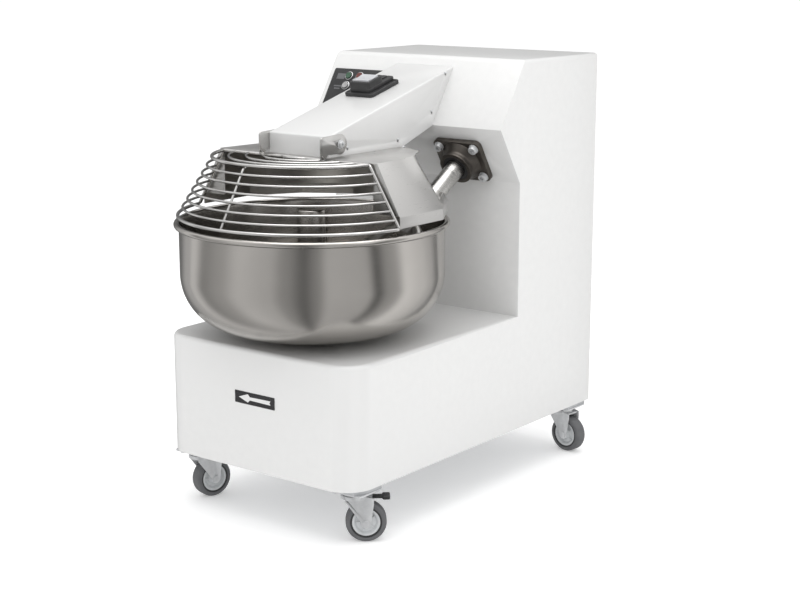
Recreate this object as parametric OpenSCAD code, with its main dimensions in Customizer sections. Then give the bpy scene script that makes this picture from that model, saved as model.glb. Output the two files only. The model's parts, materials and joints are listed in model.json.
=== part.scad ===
// Fork kneader: a white sheet-metal cabinet on casters, a rotating stainless bowl,
// an inclined fork shaft and a wire guard that lifts. Millimetres.
// The origin is on the floor at the centre of the footprint. The bowl faces -Y, up is +Z.

/* [Overall] */
// Width of the cabinet across its side walls
body_w = 500; // [470:600]
// Depth from the front of the bowl to the back of the cabinet
depth = 950; // [940:1140]
// Height from the floor to the top of the tower
height = 900; // [890:1080]

/* [Cabinet] */
// Sheet thickness of the cabinet
sheet = 3; // [2:0.5:4]
// Radius of the base's front vertical corners
corner_r = 60; // [50:72]
// Distance from the bowl axis forward to the base's front face
front_set = 184; // [160:200]
// Gap between the bowl rim and the tower's front wall
wall_gap = 95; // [90:130]
// Rise of the panel face from the tower's nose to its top
panel_rise = 138; // [120:170]
// Setback of the tower's top edge behind its nose
panel_run = 86; // [70:100]
// Length of the undercut face that carries the bearing flange
undercut = 137; // [125:160]

/* [Bowl] */
// Outer diameter of the bowl's rolled rim
bowl_d = 552; // [530:570]
// Height of the bowl from its underside to the top of the rim
bowl_h = 220; // [180:270]
// Wall thickness of the bowl
bowl_wall = 3; // [2:0.5:4]
// Outer radius of the corner between the bowl's wall and its bottom
bowl_corner = 115; // [90:140]
// Radius of the foot disc under the bowl
foot_r = 122; // [80:140]
// Diameter of the column in the middle of the bowl
column_d = 60; // [40:64]

/* [Fork] */
// Angle of the fork shaft below horizontal
fork_tilt = 32; // [30:34]
// Distance of the fork shaft to the right of the bowl axis
fork_x = 129; // [120:135]
// Diameter of the fork shaft
shaft_d = 40; // [32:45]
// Length from the bearing flange's seat to the tips of the prongs
fork_len = 432; // [380:440]
// Largest distance of a prong's centre line from the shaft axis
fork_swing = 68; // [55:72]
// Diameter of a prong
prong_d = 24; // [18:28]

/* [Arm] */
// Width of the arm over the bowl
arm_w = 155; // [140:180]
// Height of the arm's front end
arm_nose = 41; // [36:50]
// Clear height between the bowl's rim and the arm
arm_gap = 131; // [120:160]
// Step from the tower's top down to the arm's top
arm_drop = 20; // [10:30]

/* [Guard] */
// Diameter of the guard's wires
wire_d = 5; // [4:7]
// Number of hoops down the guard's slope
slope_hoops = 7; // [5:9]

/* [Casters] */
// Height of a caster from the floor to the chassis
caster_h = 113; // [112:135]
// Diameter of a caster's wheel
wheel_d = 80; // [70:84]
// Angle that the front right caster stands turned at
caster_turn = 40; // [30:50]

/* [Hidden] */
$fn = 64;
fit = 0.05;          // running or pressed fit, on the radius
slack = 0.5;         // clearance between sheets and around parts that pass through

// Levels, from the top of the tower down to the floor
nose_step = 35;                                  // arm's underside up to the tower's nose
foot_h = 15;                                     // deck up to the bowl's underside
z_nose = height - panel_rise;
z_arm = z_nose - nose_step;
z_rim = z_arm - arm_gap;
z_bowl = z_rim - bowl_h;
z_deck = z_bowl - foot_h;
z_under = caster_h;
z_bend = z_nose - undercut * cos(fork_tilt);

// Places along the depth, from the bowl back to the rear
bowl_r = bowl_d / 2;
bowl_y = bowl_r - depth / 2;
y_front = bowl_y - front_set;
y_wall = bowl_y + bowl_r + wall_gap;
y_nose = y_wall - undercut * sin(fork_tilt);
y_top = y_nose + panel_run;
panel_t = 1.5;
screw_head = 2.5;
y_back = depth / 2 - panel_t - screw_head;       // outer face of the cabinet's rear flange
half_w = body_w / 2;
inner_w = body_w - 2 * sheet;

// Side outline of the cabinet, as [y, z]
cabinet = [
    [y_front, z_under], [y_back, z_under], [y_back, height], [y_top, height],
    [y_nose, z_nose], [y_wall, z_bend], [y_wall, z_deck], [y_front, z_deck]
];

// Rear panel
rear_margin = 28;
rear_screws = [for (x = [-1, 0, 1], z = [0, 0.5, 1]) if (x != 0 || z != 0.5)
    [x * (half_w - rear_margin / 2), z_under + rear_margin / 2 + z * (height - z_under - rear_margin)]];
gland_x = -150;
gland_z = z_under + 90;
gland_bore = 5.5;

// Arm: its side outline, as [y, z]
arm_front = bowl_y - 38;
arm_half = arm_w / 2;
arm_sheet = 2;
z_arm_top = height - arm_drop;
y_arm_top = y_nose + (z_arm_top - z_nose) * panel_run / panel_rise;
arm_low_y = y_nose - 103;
arm_slope = (z_arm_top - z_arm - arm_nose) / (y_arm_top - arm_front);
arm_angle = atan(arm_slope);
arm_side = [
    [arm_front, z_arm], [arm_low_y, z_arm], [y_nose, z_nose], [y_arm_top, z_arm_top],
    [arm_front, z_arm + arm_nose]
];
arm_side_screws = [
    [y_nose + 44, z_arm_top - 15], [y_nose - 4, z_nose + 26],
    [arm_low_y - 16, z_arm + 13], [arm_front + 56, z_arm + 12]
];

// Fork shaft: its origin is where the axis leaves the undercut face
flange_up = 56;                                  // from the wall's bend up to the axis
fork_y = y_wall - flange_up * sin(fork_tilt);
fork_z = z_bend + flange_up * cos(fork_tilt);
shaft_r = shaft_d / 2;
hub_at = 212;                                    // where the shaft ends in the fork's hub
flange_size = [117, 100];
flange_t = 12;
flange_bolt = [44, 36];
neck_r = 35;
neck_l = 38;
neck_bore = 29;
bearing_r = 31;
shaft_top = -205;

// Fork gearbox, in the shaft's frame: z runs down the shaft, y is up and forward
box_x = 80;
box_low = -96;
box_high = 62;
box_near = -60;
box_far = -205;
box_wall = 8;
wheel_at = -130;
wheel_r = 50;
wheel_t = 30;
worm_r = 14;
mesh_gap = 2;
worm_y = -(wheel_r + worm_r + mesh_gap);
worm_shaft_r = 10;
snout_end = -189;                                // left end of the worm's bearing tube
input_y = fork_y - wheel_at * cos(fork_tilt) - worm_y * sin(fork_tilt);
input_z = fork_z - wheel_at * sin(fork_tilt) + worm_y * cos(fork_tilt);

// Belts and pulleys, which all turn about axes along X
belt_t = 8;
belt_w = 22;
belt_gap = 0.4;
pulley_w = 30;
fork_belt_x = fork_x + snout_end - 25;
bowl_belt_x = fork_belt_x - 45;
fork_pulley_r = 82;
motor_fork_r = 35;
motor_bowl_r = 28;
bowl_pulley_r = 64;

// Motor
motor_r = 85;
motor_l = 220;
chassis_t = 6;
z_floor = z_under + chassis_t;
motor_y = y_wall + 158;
motor_z = z_floor + motor_r + 12;
motor_face = bowl_belt_x + 75;

// Bowl drive, below the deck
column_rise = 20;                                // column's top above the bowl's rim
spindle_r = 25;
gear_r = 80;
gear_t = 30;
bowl_worm_r = 16;
gear_box_h = 125;
gear_box_x = 100;
gear_z = z_floor + 75;
bowl_worm_y = bowl_y + gear_r + bowl_worm_r + mesh_gap;
z_gear_top = z_floor + gear_box_h;
housing_r = 48;
housing_bore = 42;
bearing_h = 18;

// Rear cover of the bowl, as right-hand points [x, y] around the bowl axis
cover_t = 2;
cover_top = [[204, -47], [190, 81], [148, 157], [78, 195]];
cover_foot = [[257, -47], [257, 92], [196, 190], [100, 252]];
cover_scale = bowl_d / 552;
cover_break = z_arm - 98;                        // where the slope turns into the skirt
cover_low = z_rim + 11;
slot_half = 34;                                  // half-width of the notch for the shaft

// Guard
guard_cut = -53;                                 // its rear edge, from the bowl axis
guard_top_r = 197;
guard_low_r = bowl_r - 9;
guard_top_z = z_arm - 5;
guard_low_z = z_rim + 14;
top_hoops = [62, 96, 130, 164];
frame_d = 7;
pivot_y = bowl_y - 8;
pivot_z = z_arm + 24;
pivot_r = 4;
ear_r = 20;
ear_t = 3;

// Controls
panel_size = [150, 92];
panel_x = -half_w + 13 + panel_size.x / 2;
panel_up = 72;                                   // centre of the panel, up the face from the nose
panel_thick = 3;
button_r = 8;
button_stroke = 1.5;
button_spots = [[-28, 28], [2, 28], [-28, 4], [2, 4]];
switch_x = -17;
switch_y = arm_low_y + 19;

// Casters
wheel_r2 = wheel_d / 2;
trail = 22;
tyre_in = 28;
tyre_w = 28;
hub_w = 31;
leg_t = 2.5;
leg_in = 17;
plate_size = [84, 72];
plate_t = 3;
plate_bolt = [28, 24];
pad_t = 8;                                        // welded pad over each caster
z_pad = z_under - pad_t;
caster_x = half_w - 44;
caster_front = y_front + 61;
caster_rear = y_back - 46;
caster_spots = [
    [-caster_x, caster_front], [caster_x, caster_front],
    [-caster_x, caster_rear], [caster_x, caster_rear]
];
caster_turns = [caster_turn + 35, caster_turn, caster_turn + 110, caster_turn - 47];
pedal_reach = 69;

// Moves each corner of a counter-clockwise outline inward by t
function inset(p, t) = [
    for (i = [0:len(p) - 1])
        let (
            a = p[(i + len(p) - 1) % len(p)],
            b = p[i],
            c = p[(i + 1) % len(p)],
            u = (b - a) / norm(b - a),
            v = (c - b) / norm(c - b),
            m = [-u.y, u.x],
            n = [-v.y, v.x]
        )
        b + t * (m + n) / (1 + m * n)
];

// Points mirrored to the left and closed into one outline
function both_sides(p) = concat(p, [for (i = [len(p) - 1:-1:0]) [-p[i].x, p[i].y]]);

// Carries an outline drawn as [y, z] along X, centred on x = 0
module across(w) {
    rotate([90, 0, 90])
        translate([0, 0, -w / 2])
            linear_extrude(w)
                children();
}

// A rectangle with round corners, drawn with true arcs
module round_rect(size, r) {
    square([size.x - 2 * r, size.y], center = true);
    square([size.x, size.y - 2 * r], center = true);
    for (x = [-1, 1], y = [-1, 1])
        translate([x * (size.x / 2 - r), y * (size.y / 2 - r)])
            circle(r);
}

// Plan of the cabinet, with round front corners
module cabinet_plan(t) {
    r = corner_r - t;
    w = body_w - 2 * t;
    y0 = y_front + t;
    translate([-w / 2, y0 + r])
        square([w, depth]);
    translate([-w / 2 + r, y0])
        square([w - 2 * r, depth]);
    for (x = [-1, 1])
        translate([x * (w / 2 - r), y0 + r])
            circle(r);
}

// The fork shaft's frame: +Z down the shaft into the bowl, +X to the right
module on_fork_axis() {
    translate([fork_x, fork_y, fork_z])
        rotate([90 + fork_tilt, 0, 0])
            children();
}

// A frame on the tower's panel face: +Z out of the face, +Y up the face
module on_panel(x, up) {
    a = atan2(panel_rise, panel_run);
    translate([x, y_nose + up * cos(a), z_nose + up * sin(a)])
        rotate([a, 0, 0])
            children();
}

// A frame on the arm's top: +Z out of the sheet, +Y up the slope
module on_arm(x, y) {
    translate([x, y, z_arm + arm_nose + (y - arm_front) * arm_slope])
        rotate([arm_angle, 0, 0])
            children();
}

// A tube or ring along Z
module ring(ro, ri, h) {
    difference() {
        cylinder(r = ro, h = h);
        translate([0, 0, -1])
            cylinder(r = ri, h = h + 2);
    }
}

// A round-headed screw: its head stands on z = 0 and its shank runs down
module screw(head, rise, shank, long) {
    difference() {
        cylinder(r1 = head, r2 = head * 0.8, h = rise);
        translate([0, 0, rise * 0.45])
            cylinder(r = head * 0.45, h = rise, $fn = 6);
    }
    translate([0, 0, -long])
        cylinder(r = shank, h = long + 0.1);
}

// ---- Cabinet ----

module body_shell() {
    color("white")
    difference() {
        intersection() {
            across(body_w)
                polygon(cabinet);
            translate([0, 0, z_under - 1])
                linear_extrude(height)
                    cabinet_plan(0);
        }
        intersection() {
            across(inner_w)
                polygon(inset(cabinet, sheet));
            translate([0, 0, z_under])
                linear_extrude(height)
                    cabinet_plan(sheet);
        }
        // open underside, closed by the chassis plate
        translate([0, 0, z_under - 1])
            linear_extrude(sheet + 2)
                intersection() {
                    cabinet_plan(sheet);
                    translate([-half_w, y_front])
                        square([body_w, y_back - sheet - y_front]);
                }
        // rear service opening
        translate([-half_w + rear_margin, y_back - sheet - 1, z_under + rear_margin])
            cube([body_w - 2 * rear_margin, sheet + 2, height - z_under - 2 * rear_margin]);
        for (p = rear_screws)
            translate([p.x, y_back + 1, p.y])
                rotate([90, 0, 0])
                    cylinder(r = 2 + fit, h = sheet + 2);
        // the bowl spindle passes the deck, the fork shaft and its bolts pass the undercut
        translate([0, bowl_y, z_deck - sheet - 1])
            cylinder(r = spindle_r + 5, h = sheet + 2);
        on_fork_axis() {
            translate([0, 0, -sheet - 1])
                cylinder(r = neck_bore, h = sheet + 2);
            for (x = [-1, 1], y = [-1, 1])
                translate([x * flange_bolt.x, y * flange_bolt.y, -sheet - 1])
                    cylinder(r = 6 + slack, h = sheet + 2);
        }
    }
}

module chassis_plan() {
    intersection() {
        cabinet_plan(sheet + slack);
        translate([-half_w, y_front])
            square([body_w, y_back - sheet - slack - y_front]);
    }
}

module chassis_plate() {
    color("dimgray")
    difference() {
        union() {
            translate([0, 0, z_under])
                linear_extrude(chassis_t)
                    chassis_plan();
            translate([0, 0, z_pad])
                linear_extrude(pad_t + 1)
                    intersection() {
                        chassis_plan();
                        for (c = caster_spots)
                            translate([c.x, c.y])
                                round_rect(plate_size, 6);
                    }
        }
        for (c = caster_spots, x = [-1, 1], y = [-1, 1])
            translate([c.x + x * plate_bolt.x, c.y + y * plate_bolt.y, z_pad - 1])
                cylinder(r = 4 + fit, h = pad_t + chassis_t + 2);
        // air slots under the motor
        for (i = [-3:3])
            translate([i * 22 - 4, motor_y - 50, z_under - 1])
                cube([8, 100, chassis_t + 2]);
    }
}

module rear_panel() {
    slots = 9;
    color("gainsboro")
    difference() {
        translate([-half_w + 2, y_back, z_under + 2])
            cube([body_w - 4, panel_t, height - z_under - 4]);
        for (p = rear_screws)
            translate([p.x, y_back + panel_t + 1, p.y])
                rotate([90, 0, 0])
                    cylinder(r = 2 + fit, h = panel_t + 2);
        // cooling slots level with the motor and near the top
        for (z = [z_under + 150, height - 200], i = [0:slots - 1])
            translate([-70, y_back - 1, z + i * 13])
                cube([140, panel_t + 2, 5]);
        translate([gland_x, y_back + panel_t + 1, gland_z])
            rotate([90, 0, 0])
                cylinder(r = 10 + fit, h = panel_t + 2);
    }
}

module rear_screws() {
    color("silver")
    for (p = rear_screws)
        translate([p.x, y_back + panel_t, p.y])
            rotate([-90, 0, 0])
                screw(5, screw_head, 2, panel_t + sheet + 4);
}

// The inlet for the mains lead: a nut outside and a threaded tube through the panel
module cable_gland() {
    color("black")
    translate([gland_x, y_back + panel_t, gland_z])
        rotate([-90, 0, 0])
            difference() {
                union() {
                    translate([0, 0, -18])
                        cylinder(r = 10, h = 19);
                    cylinder(r = 13, h = screw_head, $fn = 6);
                    translate([0, 0, -panel_t - 5])
                        cylinder(r = 14, h = 5, $fn = 6);
                }
                translate([0, 0, -20])
                    cylinder(r = gland_bore, h = 30);
            }
}

// The plate on the base's front that shows which way the bowl turns
module arrow_label() {
    w = 105;
    h = 25;
    t = 0.8;
    color("black")
    translate([5, y_front, z_deck - 100])
        rotate([90, 0, 0])
            linear_extrude(t)
                round_rect([w, h], 1.5);
}

// ---- Arm and rear cover ----

module arm_shell() {
    drop = arm_sheet / cos(arm_angle);
    reach = 40;
    color("whitesmoke")
    difference() {
        across(arm_w)
            polygon(arm_side);
        across(arm_w - 2 * arm_sheet)
            polygon([
                [arm_front + arm_sheet, z_arm - 10],
                [y_arm_top + reach, z_arm - 10],
                [y_arm_top + reach, z_arm_top + reach * arm_slope - drop],
                [arm_front + arm_sheet, z_arm + arm_nose + arm_sheet * arm_slope - drop]
            ]);
        for (p = arm_side_screws, s = [-1, 1])
            translate([0, p.x, p.y])
                rotate([0, s * 90, 0])
                    translate([0, 0, arm_half - arm_sheet - 1])
                        cylinder(r = 2.5 + fit, h = arm_sheet + 2);
        for (s = [-1, 1])
            translate([0, pivot_y, pivot_z])
                rotate([0, s * 90, 0])
                    cylinder(r = pivot_r + fit, h = arm_half + 1);
    }
}

// The box that carries the load inside the arm, open towards the tower
module arm_beam() {
    gap = arm_sheet + slack;
    drop = gap / cos(arm_angle);
    wall = 4;
    reach = 40;
    outline = [
        [arm_front + gap, z_arm], [arm_low_y, z_arm], [y_nose, z_nose],
        [y_arm_top - drop * panel_run / panel_rise, z_arm_top - drop],
        [arm_front + gap, z_arm + arm_nose + gap * arm_slope - drop]
    ];
    inner = inset(outline, wall);
    color("darkgray")
    difference() {
        across(arm_w - 2 * gap)
            polygon(outline);
        across(arm_w - 2 * gap - 2 * wall)
            polygon([inner[0], inner[1], inner[2] + [reach, 0], inner[3] + [reach, 0], inner[4]]);
        for (p = arm_side_screws, s = [-1, 1])
            translate([0, p.x, p.y])
                rotate([0, s * 90, 0])
                    translate([0, 0, arm_half - gap - wall - 1])
                        cylinder(r = 2.5 + fit, h = wall + 2);
        for (s = [-1, 1])
            translate([0, pivot_y, pivot_z])
                rotate([0, s * 90, 0])
                    cylinder(r = pivot_r + fit, h = arm_half + 1);
    }
}

module cover_screws() {
    color("silver") {
        for (p = arm_side_screws, s = [-1, 1])
            translate([0, p.x, p.y])
                rotate([0, s * 90, 0])
                    translate([0, 0, arm_half])
                        screw(5, 2.8, 2.5, 6);
        for (s = [-1, 1])
            translate([s * (arm_half + 10), arm_low_y - 14, z_arm])
                screw(5, 2.8, 2.5, 6);
    }
}

// Outer form of the rear cover, with every outline drawn in by t
module cover_form(t) {
    scaled_top = [for (p = cover_top) p * cover_scale];
    scaled_foot = [for (p = cover_foot) p * cover_scale];
    top = inset(both_sides(scaled_top), t);
    foot = inset(both_sides(scaled_foot), t);
    translate([0, bowl_y, 0]) {
        hull() {
            translate([0, 0, z_arm - 1 - t])
                linear_extrude(1)
                    polygon(top);
            translate([0, 0, cover_break])
                linear_extrude(0.01)
                    polygon(foot);
        }
        translate([0, 0, cover_low - t * 10])
            linear_extrude(cover_break - cover_low + t * 10)
                polygon(foot);
    }
}

// Fixed sheet cover over the rear half of the bowl, open in front and below
module bowl_cover() {
    c = cover_scale;
    color("lightgray")
    difference() {
        cover_form(0);
        cover_form(cover_t);
        // open front
        translate([-cover_top[0].x * c + cover_t * 5, bowl_y + guard_cut * c - 20, cover_low - 30])
            cube([2 * cover_top[0].x * c - cover_t * 10, 20 + 6 * c + cover_t, z_arm - cover_low + 28]);
        translate([-bowl_r, bowl_y + guard_cut * c - 20, cover_low - 30])
            cube([bowl_d, 20 + 6 * c + cover_t, cover_break - cover_low + 32]);
        // open rear right facet, where the fork shaft comes in
        translate([0, bowl_y, cover_break + 14])
            linear_extrude(z_arm - cover_t - cover_break - 14)
                polygon([for (p = [[64, 150], [150, 101], [320, 101], [320, 320], [64, 320]]) p * c]);
        // notch for the shaft through the skirt
        translate([fork_x - slot_half, bowl_y + 100, cover_low - 30])
            cube([2 * slot_half, bowl_r, cover_break - cover_low + 60]);
        for (s = [-1, 1])
            translate([s * (arm_half + 10), arm_low_y - 14, z_arm - 10])
                cylinder(r = 2.5 + fit, h = 20);
    }
}

// ---- Guard ----

// An arc of eight-sided wire around the bowl axis, in front of the guard's rear edge
module hoop(r, z, d) {
    half = acos(-guard_cut / r);
    translate([0, bowl_y, z])
        rotate([0, 0, 270 - half])
            rotate_extrude(angle = 2 * half)
                translate([r, 0])
                    circle(d / 2, $fn = 8);
}

// A straight wire, drawn eight-sided
module wire(a, b, d) {
    v = b - a;
    translate(a)
        rotate([0, acos(v.z / norm(v)), atan2(v.y, v.x)])
            cylinder(d = d, h = norm(v), $fn = 8);
}

// The point straight ahead at share k of the way down the slope
function guard_point(k) =
    [0, bowl_y - guard_top_r - k * (guard_low_r - guard_top_r),
     guard_top_z + k * (guard_low_z - guard_top_z)];

function guard_edge(s, k) =
    let (r = guard_top_r + k * (guard_low_r - guard_top_r))
    [s * sqrt(r * r - guard_cut * guard_cut), bowl_y + guard_cut,
     guard_top_z + k * (guard_low_z - guard_top_z)];

// The middle rod is welded to the underside of the hoops
module guard_frame() {
    under = [0, 0, 0.7 - wire_d];
    color("gainsboro") {
        for (i = [0:slope_hoops])
            let (p = guard_point(i / slope_hoops))
                hoop(bowl_y - p.y, p.z, (i == 0 || i == slope_hoops) ? frame_d : wire_d);
        for (r = top_hoops)
            hoop(r, guard_top_z, wire_d);
        wire(guard_point(-0.02) + under, guard_point(1) + under, wire_d);
        wire([0, bowl_y - top_hoops[0], guard_top_z] + under, guard_point(0) + under, wire_d);
        for (s = [-1, 1])
            wire(guard_edge(s, -0.03), guard_edge(s, 1.03), frame_d);
        wire(guard_edge(-1.01, 0), guard_edge(1.01, 0), frame_d);
    }
}

// Side plates that hang the guard on its pivots, one each side of the arm
module guard_brackets() {
    nose = 58;
    foot = pivot_z - guard_top_z - frame_d / 2;
    lift = 18;
    r = 6;
    color("silver")
    for (s = [-1, 1])
        translate([s * (arm_half + slack + ear_t / 2), pivot_y, pivot_z])
            across(ear_t)
                difference() {
                    union() {
                        circle(ear_r);
                        polygon([[0, ear_r], [-nose + r, ear_r - 2], [-nose, ear_r - 2 - r],
                                 [-nose, -foot], [-nose + 15, -foot], [-nose + 20, -lift],
                                 [-8, -lift], [0, -ear_r + 0.5]]);
                        translate([-nose + r, ear_r - 2 - r])
                            circle(r);
                    }
                    circle(pivot_r + fit);
                }
}

module guard_pivots() {
    color("silver")
    for (s = [-1, 1])
        translate([0, pivot_y, pivot_z])
            rotate([0, s * 90, 0]) {
                translate([0, 0, arm_half - 10])
                    cylinder(r = pivot_r, h = 10 + slack + ear_t + 1);
                translate([0, 0, arm_half + slack + ear_t + 0.3])
                    cylinder(r = 9, h = 1.5);
                translate([0, 0, arm_half + slack + ear_t + 1.8])
                    difference() {
                        cylinder(r = 6.5, h = 4.5);
                        translate([0, 0, 2])
                            cylinder(r = 3, h = 4, $fn = 6);
                    }
            }
}

// ---- Controls ----

module control_panel() {
    color("black")
    on_panel(panel_x, panel_up)
        difference() {
            linear_extrude(panel_thick)
                round_rect(panel_size, 4);
            for (p = button_spots)
                translate([p.x, p.y, panel_thick - 2.5])
                    cylinder(r = button_r - 1.7, h = 4);
        }
}

module push_button(i) {
    p = button_spots[i];
    color(i == 0 ? "seagreen" : i == 1 ? "firebrick" : "silver")
    on_panel(panel_x, panel_up)
        translate([p.x, p.y, 0]) {
            translate([0, 0, panel_thick + button_stroke + 0.3])
                cylinder(r1 = button_r, r2 = button_r - 1, h = 2.5);
            translate([0, 0, panel_thick - 0.7])
                cylinder(r = button_r - 2, h = button_stroke + 1.1);
        }
}

// Switch enclosure on the arm: a wide foot, a long body and a raised block
module switch_housing() {
    color("black")
    on_arm(switch_x, switch_y)
        difference() {
            union() {
                linear_extrude(8)
                    round_rect([75, 97], 8);
                translate([0, 2, 7])
                    linear_extrude(9)
                        round_rect([54, 86], 6);
                translate([0, -16, 15])
                    linear_extrude(14)
                        round_rect([52, 48], 4);
            }
            translate([0, -16, 24])
                linear_extrude(10)
                    square([42, 36], center = true);
        }
}

// Pale rocker, tilting about its own long axis in the raised block
module switch_rocker() {
    color("lightgray")
    on_arm(switch_x, switch_y)
        translate([0, -16, 29])
            difference() {
                translate([-20.5, -17.5, -1])
                    cube([41, 35, 4]);
                for (s = [-1, 1])
                    translate([-25, s * 6, 3])
                        rotate([s * 4, 0, 0])
                            translate([0, s > 0 ? 0 : -20, 0])
                                cube([50, 20, 4]);
            }
}

// ---- Fork and its drive ----

module bearing_flange() {
    color("dimgray")
    on_fork_axis()
        difference() {
            union() {
                linear_extrude(flange_t)
                    round_rect(flange_size, 12);
                translate([0, 0, flange_t - 0.1])
                    cylinder(r1 = neck_r + 10, r2 = neck_r, h = 16);
                cylinder(r = neck_r, h = neck_l);
                translate([0, 0, neck_l - 7])
                    cylinder(r = neck_r + 2.5, h = 7);
            }
            translate([0, 0, -1])
                cylinder(r = neck_bore, h = neck_l + 2);
            for (x = [-1, 1], y = [-1, 1])
                translate([x * flange_bolt.x, y * flange_bolt.y, -1])
                    cylinder(r = 6 + slack, h = flange_t + 2);
        }
}

module flange_bolts() {
    washer = 1.6;
    color("silver")
    on_fork_axis()
        for (x = [-1, 1], y = [-1, 1])
            translate([x * flange_bolt.x, y * flange_bolt.y, 0]) {
                translate([0, 0, -sheet - 10])
                    cylinder(r = 6, h = sheet + 10 + flange_t + 1);
                translate([0, 0, flange_t])
                    cylinder(r = 11, h = washer);
                translate([0, 0, flange_t + washer])
                    difference() {
                        cylinder(r = 9, h = 8);
                        translate([0, 0, 4])
                            cylinder(r = 4.5, h = 5, $fn = 6);
                    }
            }
}

module shaft_seal() {
    color("black")
    on_fork_axis()
        translate([0, 0, 10])
            ring(neck_bore - fit, shaft_r + 0.3, 8);
}

// Cast worm gearbox that holds the fork shaft's two bearings
module fork_gearbox() {
    bolt_flange = 14;
    snout_r = 24;
    color("slategray")
    on_fork_axis()
        difference() {
            union() {
                translate([-box_x, box_low, box_far])
                    cube([2 * box_x, box_high - box_low, box_near - box_far]);
                translate([0, 0, box_near - 1])
                    cylinder(r = 45, h = -box_near - sheet + 1);
                translate([0, 0, -sheet - bolt_flange])
                    linear_extrude(bolt_flange)
                        round_rect(flange_size, 12);
                translate([snout_end, worm_y, wheel_at])
                    rotate([0, 90, 0])
                        cylinder(r = snout_r, h = -snout_end - box_x + 1);
            }
            translate([-box_x + box_wall, box_low + box_wall, box_far + 18])
                cube([2 * (box_x - box_wall), box_high - box_low - 2 * box_wall,
                      box_near - box_far - 18 - box_wall]);
            translate([0, 0, box_far - 1])
                cylinder(r = bearing_r, h = -box_far + 10);
            for (x = [-1, 1], y = [-1, 1])
                translate([x * flange_bolt.x, y * flange_bolt.y, -sheet - bolt_flange - 1])
                    cylinder(r = 6 + fit, h = bolt_flange + 5);
            translate([snout_end - 1, worm_y, wheel_at])
                rotate([0, 90, 0])
                    cylinder(r = worm_shaft_r + fit, h = -snout_end + box_x - box_wall + 2);
        }
}

module fork_bearings() {
    color("silver")
    on_fork_axis()
        for (z = [box_far + 1, -sheet - 22])
            translate([0, 0, z])
                ring(bearing_r - fit, shaft_r + fit, 16);
}

module fork_shaft() {
    color("silver")
    on_fork_axis()
        translate([0, 0, shaft_top])
            cylinder(r = shaft_r, h = hub_at - shaft_top);
}

// Two curved prongs on a conical hub; each prong is an arc in a plane through the axis
module fork() {
    mid = 335;
    root = 14;
    root_z = hub_at + 14;
    half_chord = mid - root_z;
    bow = fork_swing - root;
    arc_r = (half_chord * half_chord + bow * bow) / (2 * bow);
    centre = fork_swing - arc_r;
    start = asin(half_chord / arc_r);
    stop = asin((fork_len - 6 - mid) / arc_r);
    color("silver")
    on_fork_axis() {
        translate([0, 0, hub_at])
            cylinder(r1 = shaft_r, r2 = shaft_r + 6, h = 10);
        translate([0, 0, hub_at + 10])
            cylinder(r1 = shaft_r + 6, r2 = prong_d * 0.6, h = 34);
        for (s = [0, 180])
            rotate([0, 0, s])
                translate([centre, 0, mid])
                    rotate([90, 0, 0]) {
                        rotate([0, 0, -start])
                            rotate_extrude(angle = start + stop)
                                translate([arc_r, 0])
                                    circle(prong_d / 2);
                        rotate([0, 0, stop])
                            translate([arc_r, -0.1, 0])
                                rotate([-90, 0, 0])
                                    cylinder(r1 = prong_d / 2 - 0.2, r2 = prong_d / 4, h = 6);
                    }
    }
}

// Toothed disc: teeth are cut as plain slots round its edge
module toothed(r, t, bore, teeth) {
    depth_cut = 4;
    difference() {
        cylinder(r = r, h = t);
        translate([0, 0, -1])
            cylinder(r = bore, h = t + 2);
        for (i = [0:teeth - 1])
            rotate([0, 0, i * 360 / teeth])
                translate([r - depth_cut, -r * 1.4 / teeth, -1])
                    cube([depth_cut + 1, r * 2.8 / teeth, t + 2]);
    }
}

module fork_wheel() {
    color("goldenrod")
    on_fork_axis()
        translate([0, 0, wheel_at - wheel_t / 2])
            toothed(wheel_r, wheel_t, shaft_r + fit, 20);
}

module fork_worm() {
    right = box_x - box_wall;
    left = fork_belt_x - fork_x - pulley_w / 2;
    color("gray")
    on_fork_axis()
        translate([0, worm_y, wheel_at])
            rotate([0, 90, 0]) {
                translate([0, 0, left])
                    cylinder(r = worm_shaft_r, h = right - left - 1);
                translate([0, 0, -35])
                    cylinder(r = worm_r, h = 70);
            }
}

// V-belt pulley with one wide groove, along Z and centred on z = 0
module pulley(r, bore) {
    half = pulley_w / 2;
    mouth = belt_w / 2 + 1;
    deep = belt_t + belt_gap;
    rotate_extrude()
        difference() {
            translate([bore, -half])
                square([r + deep - bore, pulley_w]);
            polygon([[r, -mouth + 3], [r + deep + 1, -mouth], [r + deep + 1, mouth], [r, mouth - 3]]);
        }
}

module fork_pulley() {
    color("dimgray")
    translate([fork_belt_x, input_y, input_z])
        rotate([0, 90, 0])
            pulley(fork_pulley_r, worm_shaft_r + fit);
}

// Outline round two circles and the strip between them
module wrap(c1, r1, c2, r2) {
    hull() {
        translate(c1)
            circle(r1);
        translate(c2)
            circle(r2);
    }
}

// A belt at x round two pulleys whose axes run along X
module belt(x, c1, r1, c2, r2) {
    w = belt_w - 8;
    translate([x, 0, 0])
        difference() {
            across(w)
                wrap(c1, r1 + belt_t, c2, r2 + belt_t);
            across(w + 2)
                wrap(c1, r1 + belt_gap, c2, r2 + belt_gap);
        }
}

module fork_belt() {
    color("black")
    belt(fork_belt_x, [motor_y, motor_z], motor_fork_r, [input_y, input_z], fork_pulley_r);
}

module bowl_belt() {
    color("black")
    belt(bowl_belt_x, [motor_y, motor_z], motor_bowl_r, [bowl_worm_y, gear_z], bowl_pulley_r);
}

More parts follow.
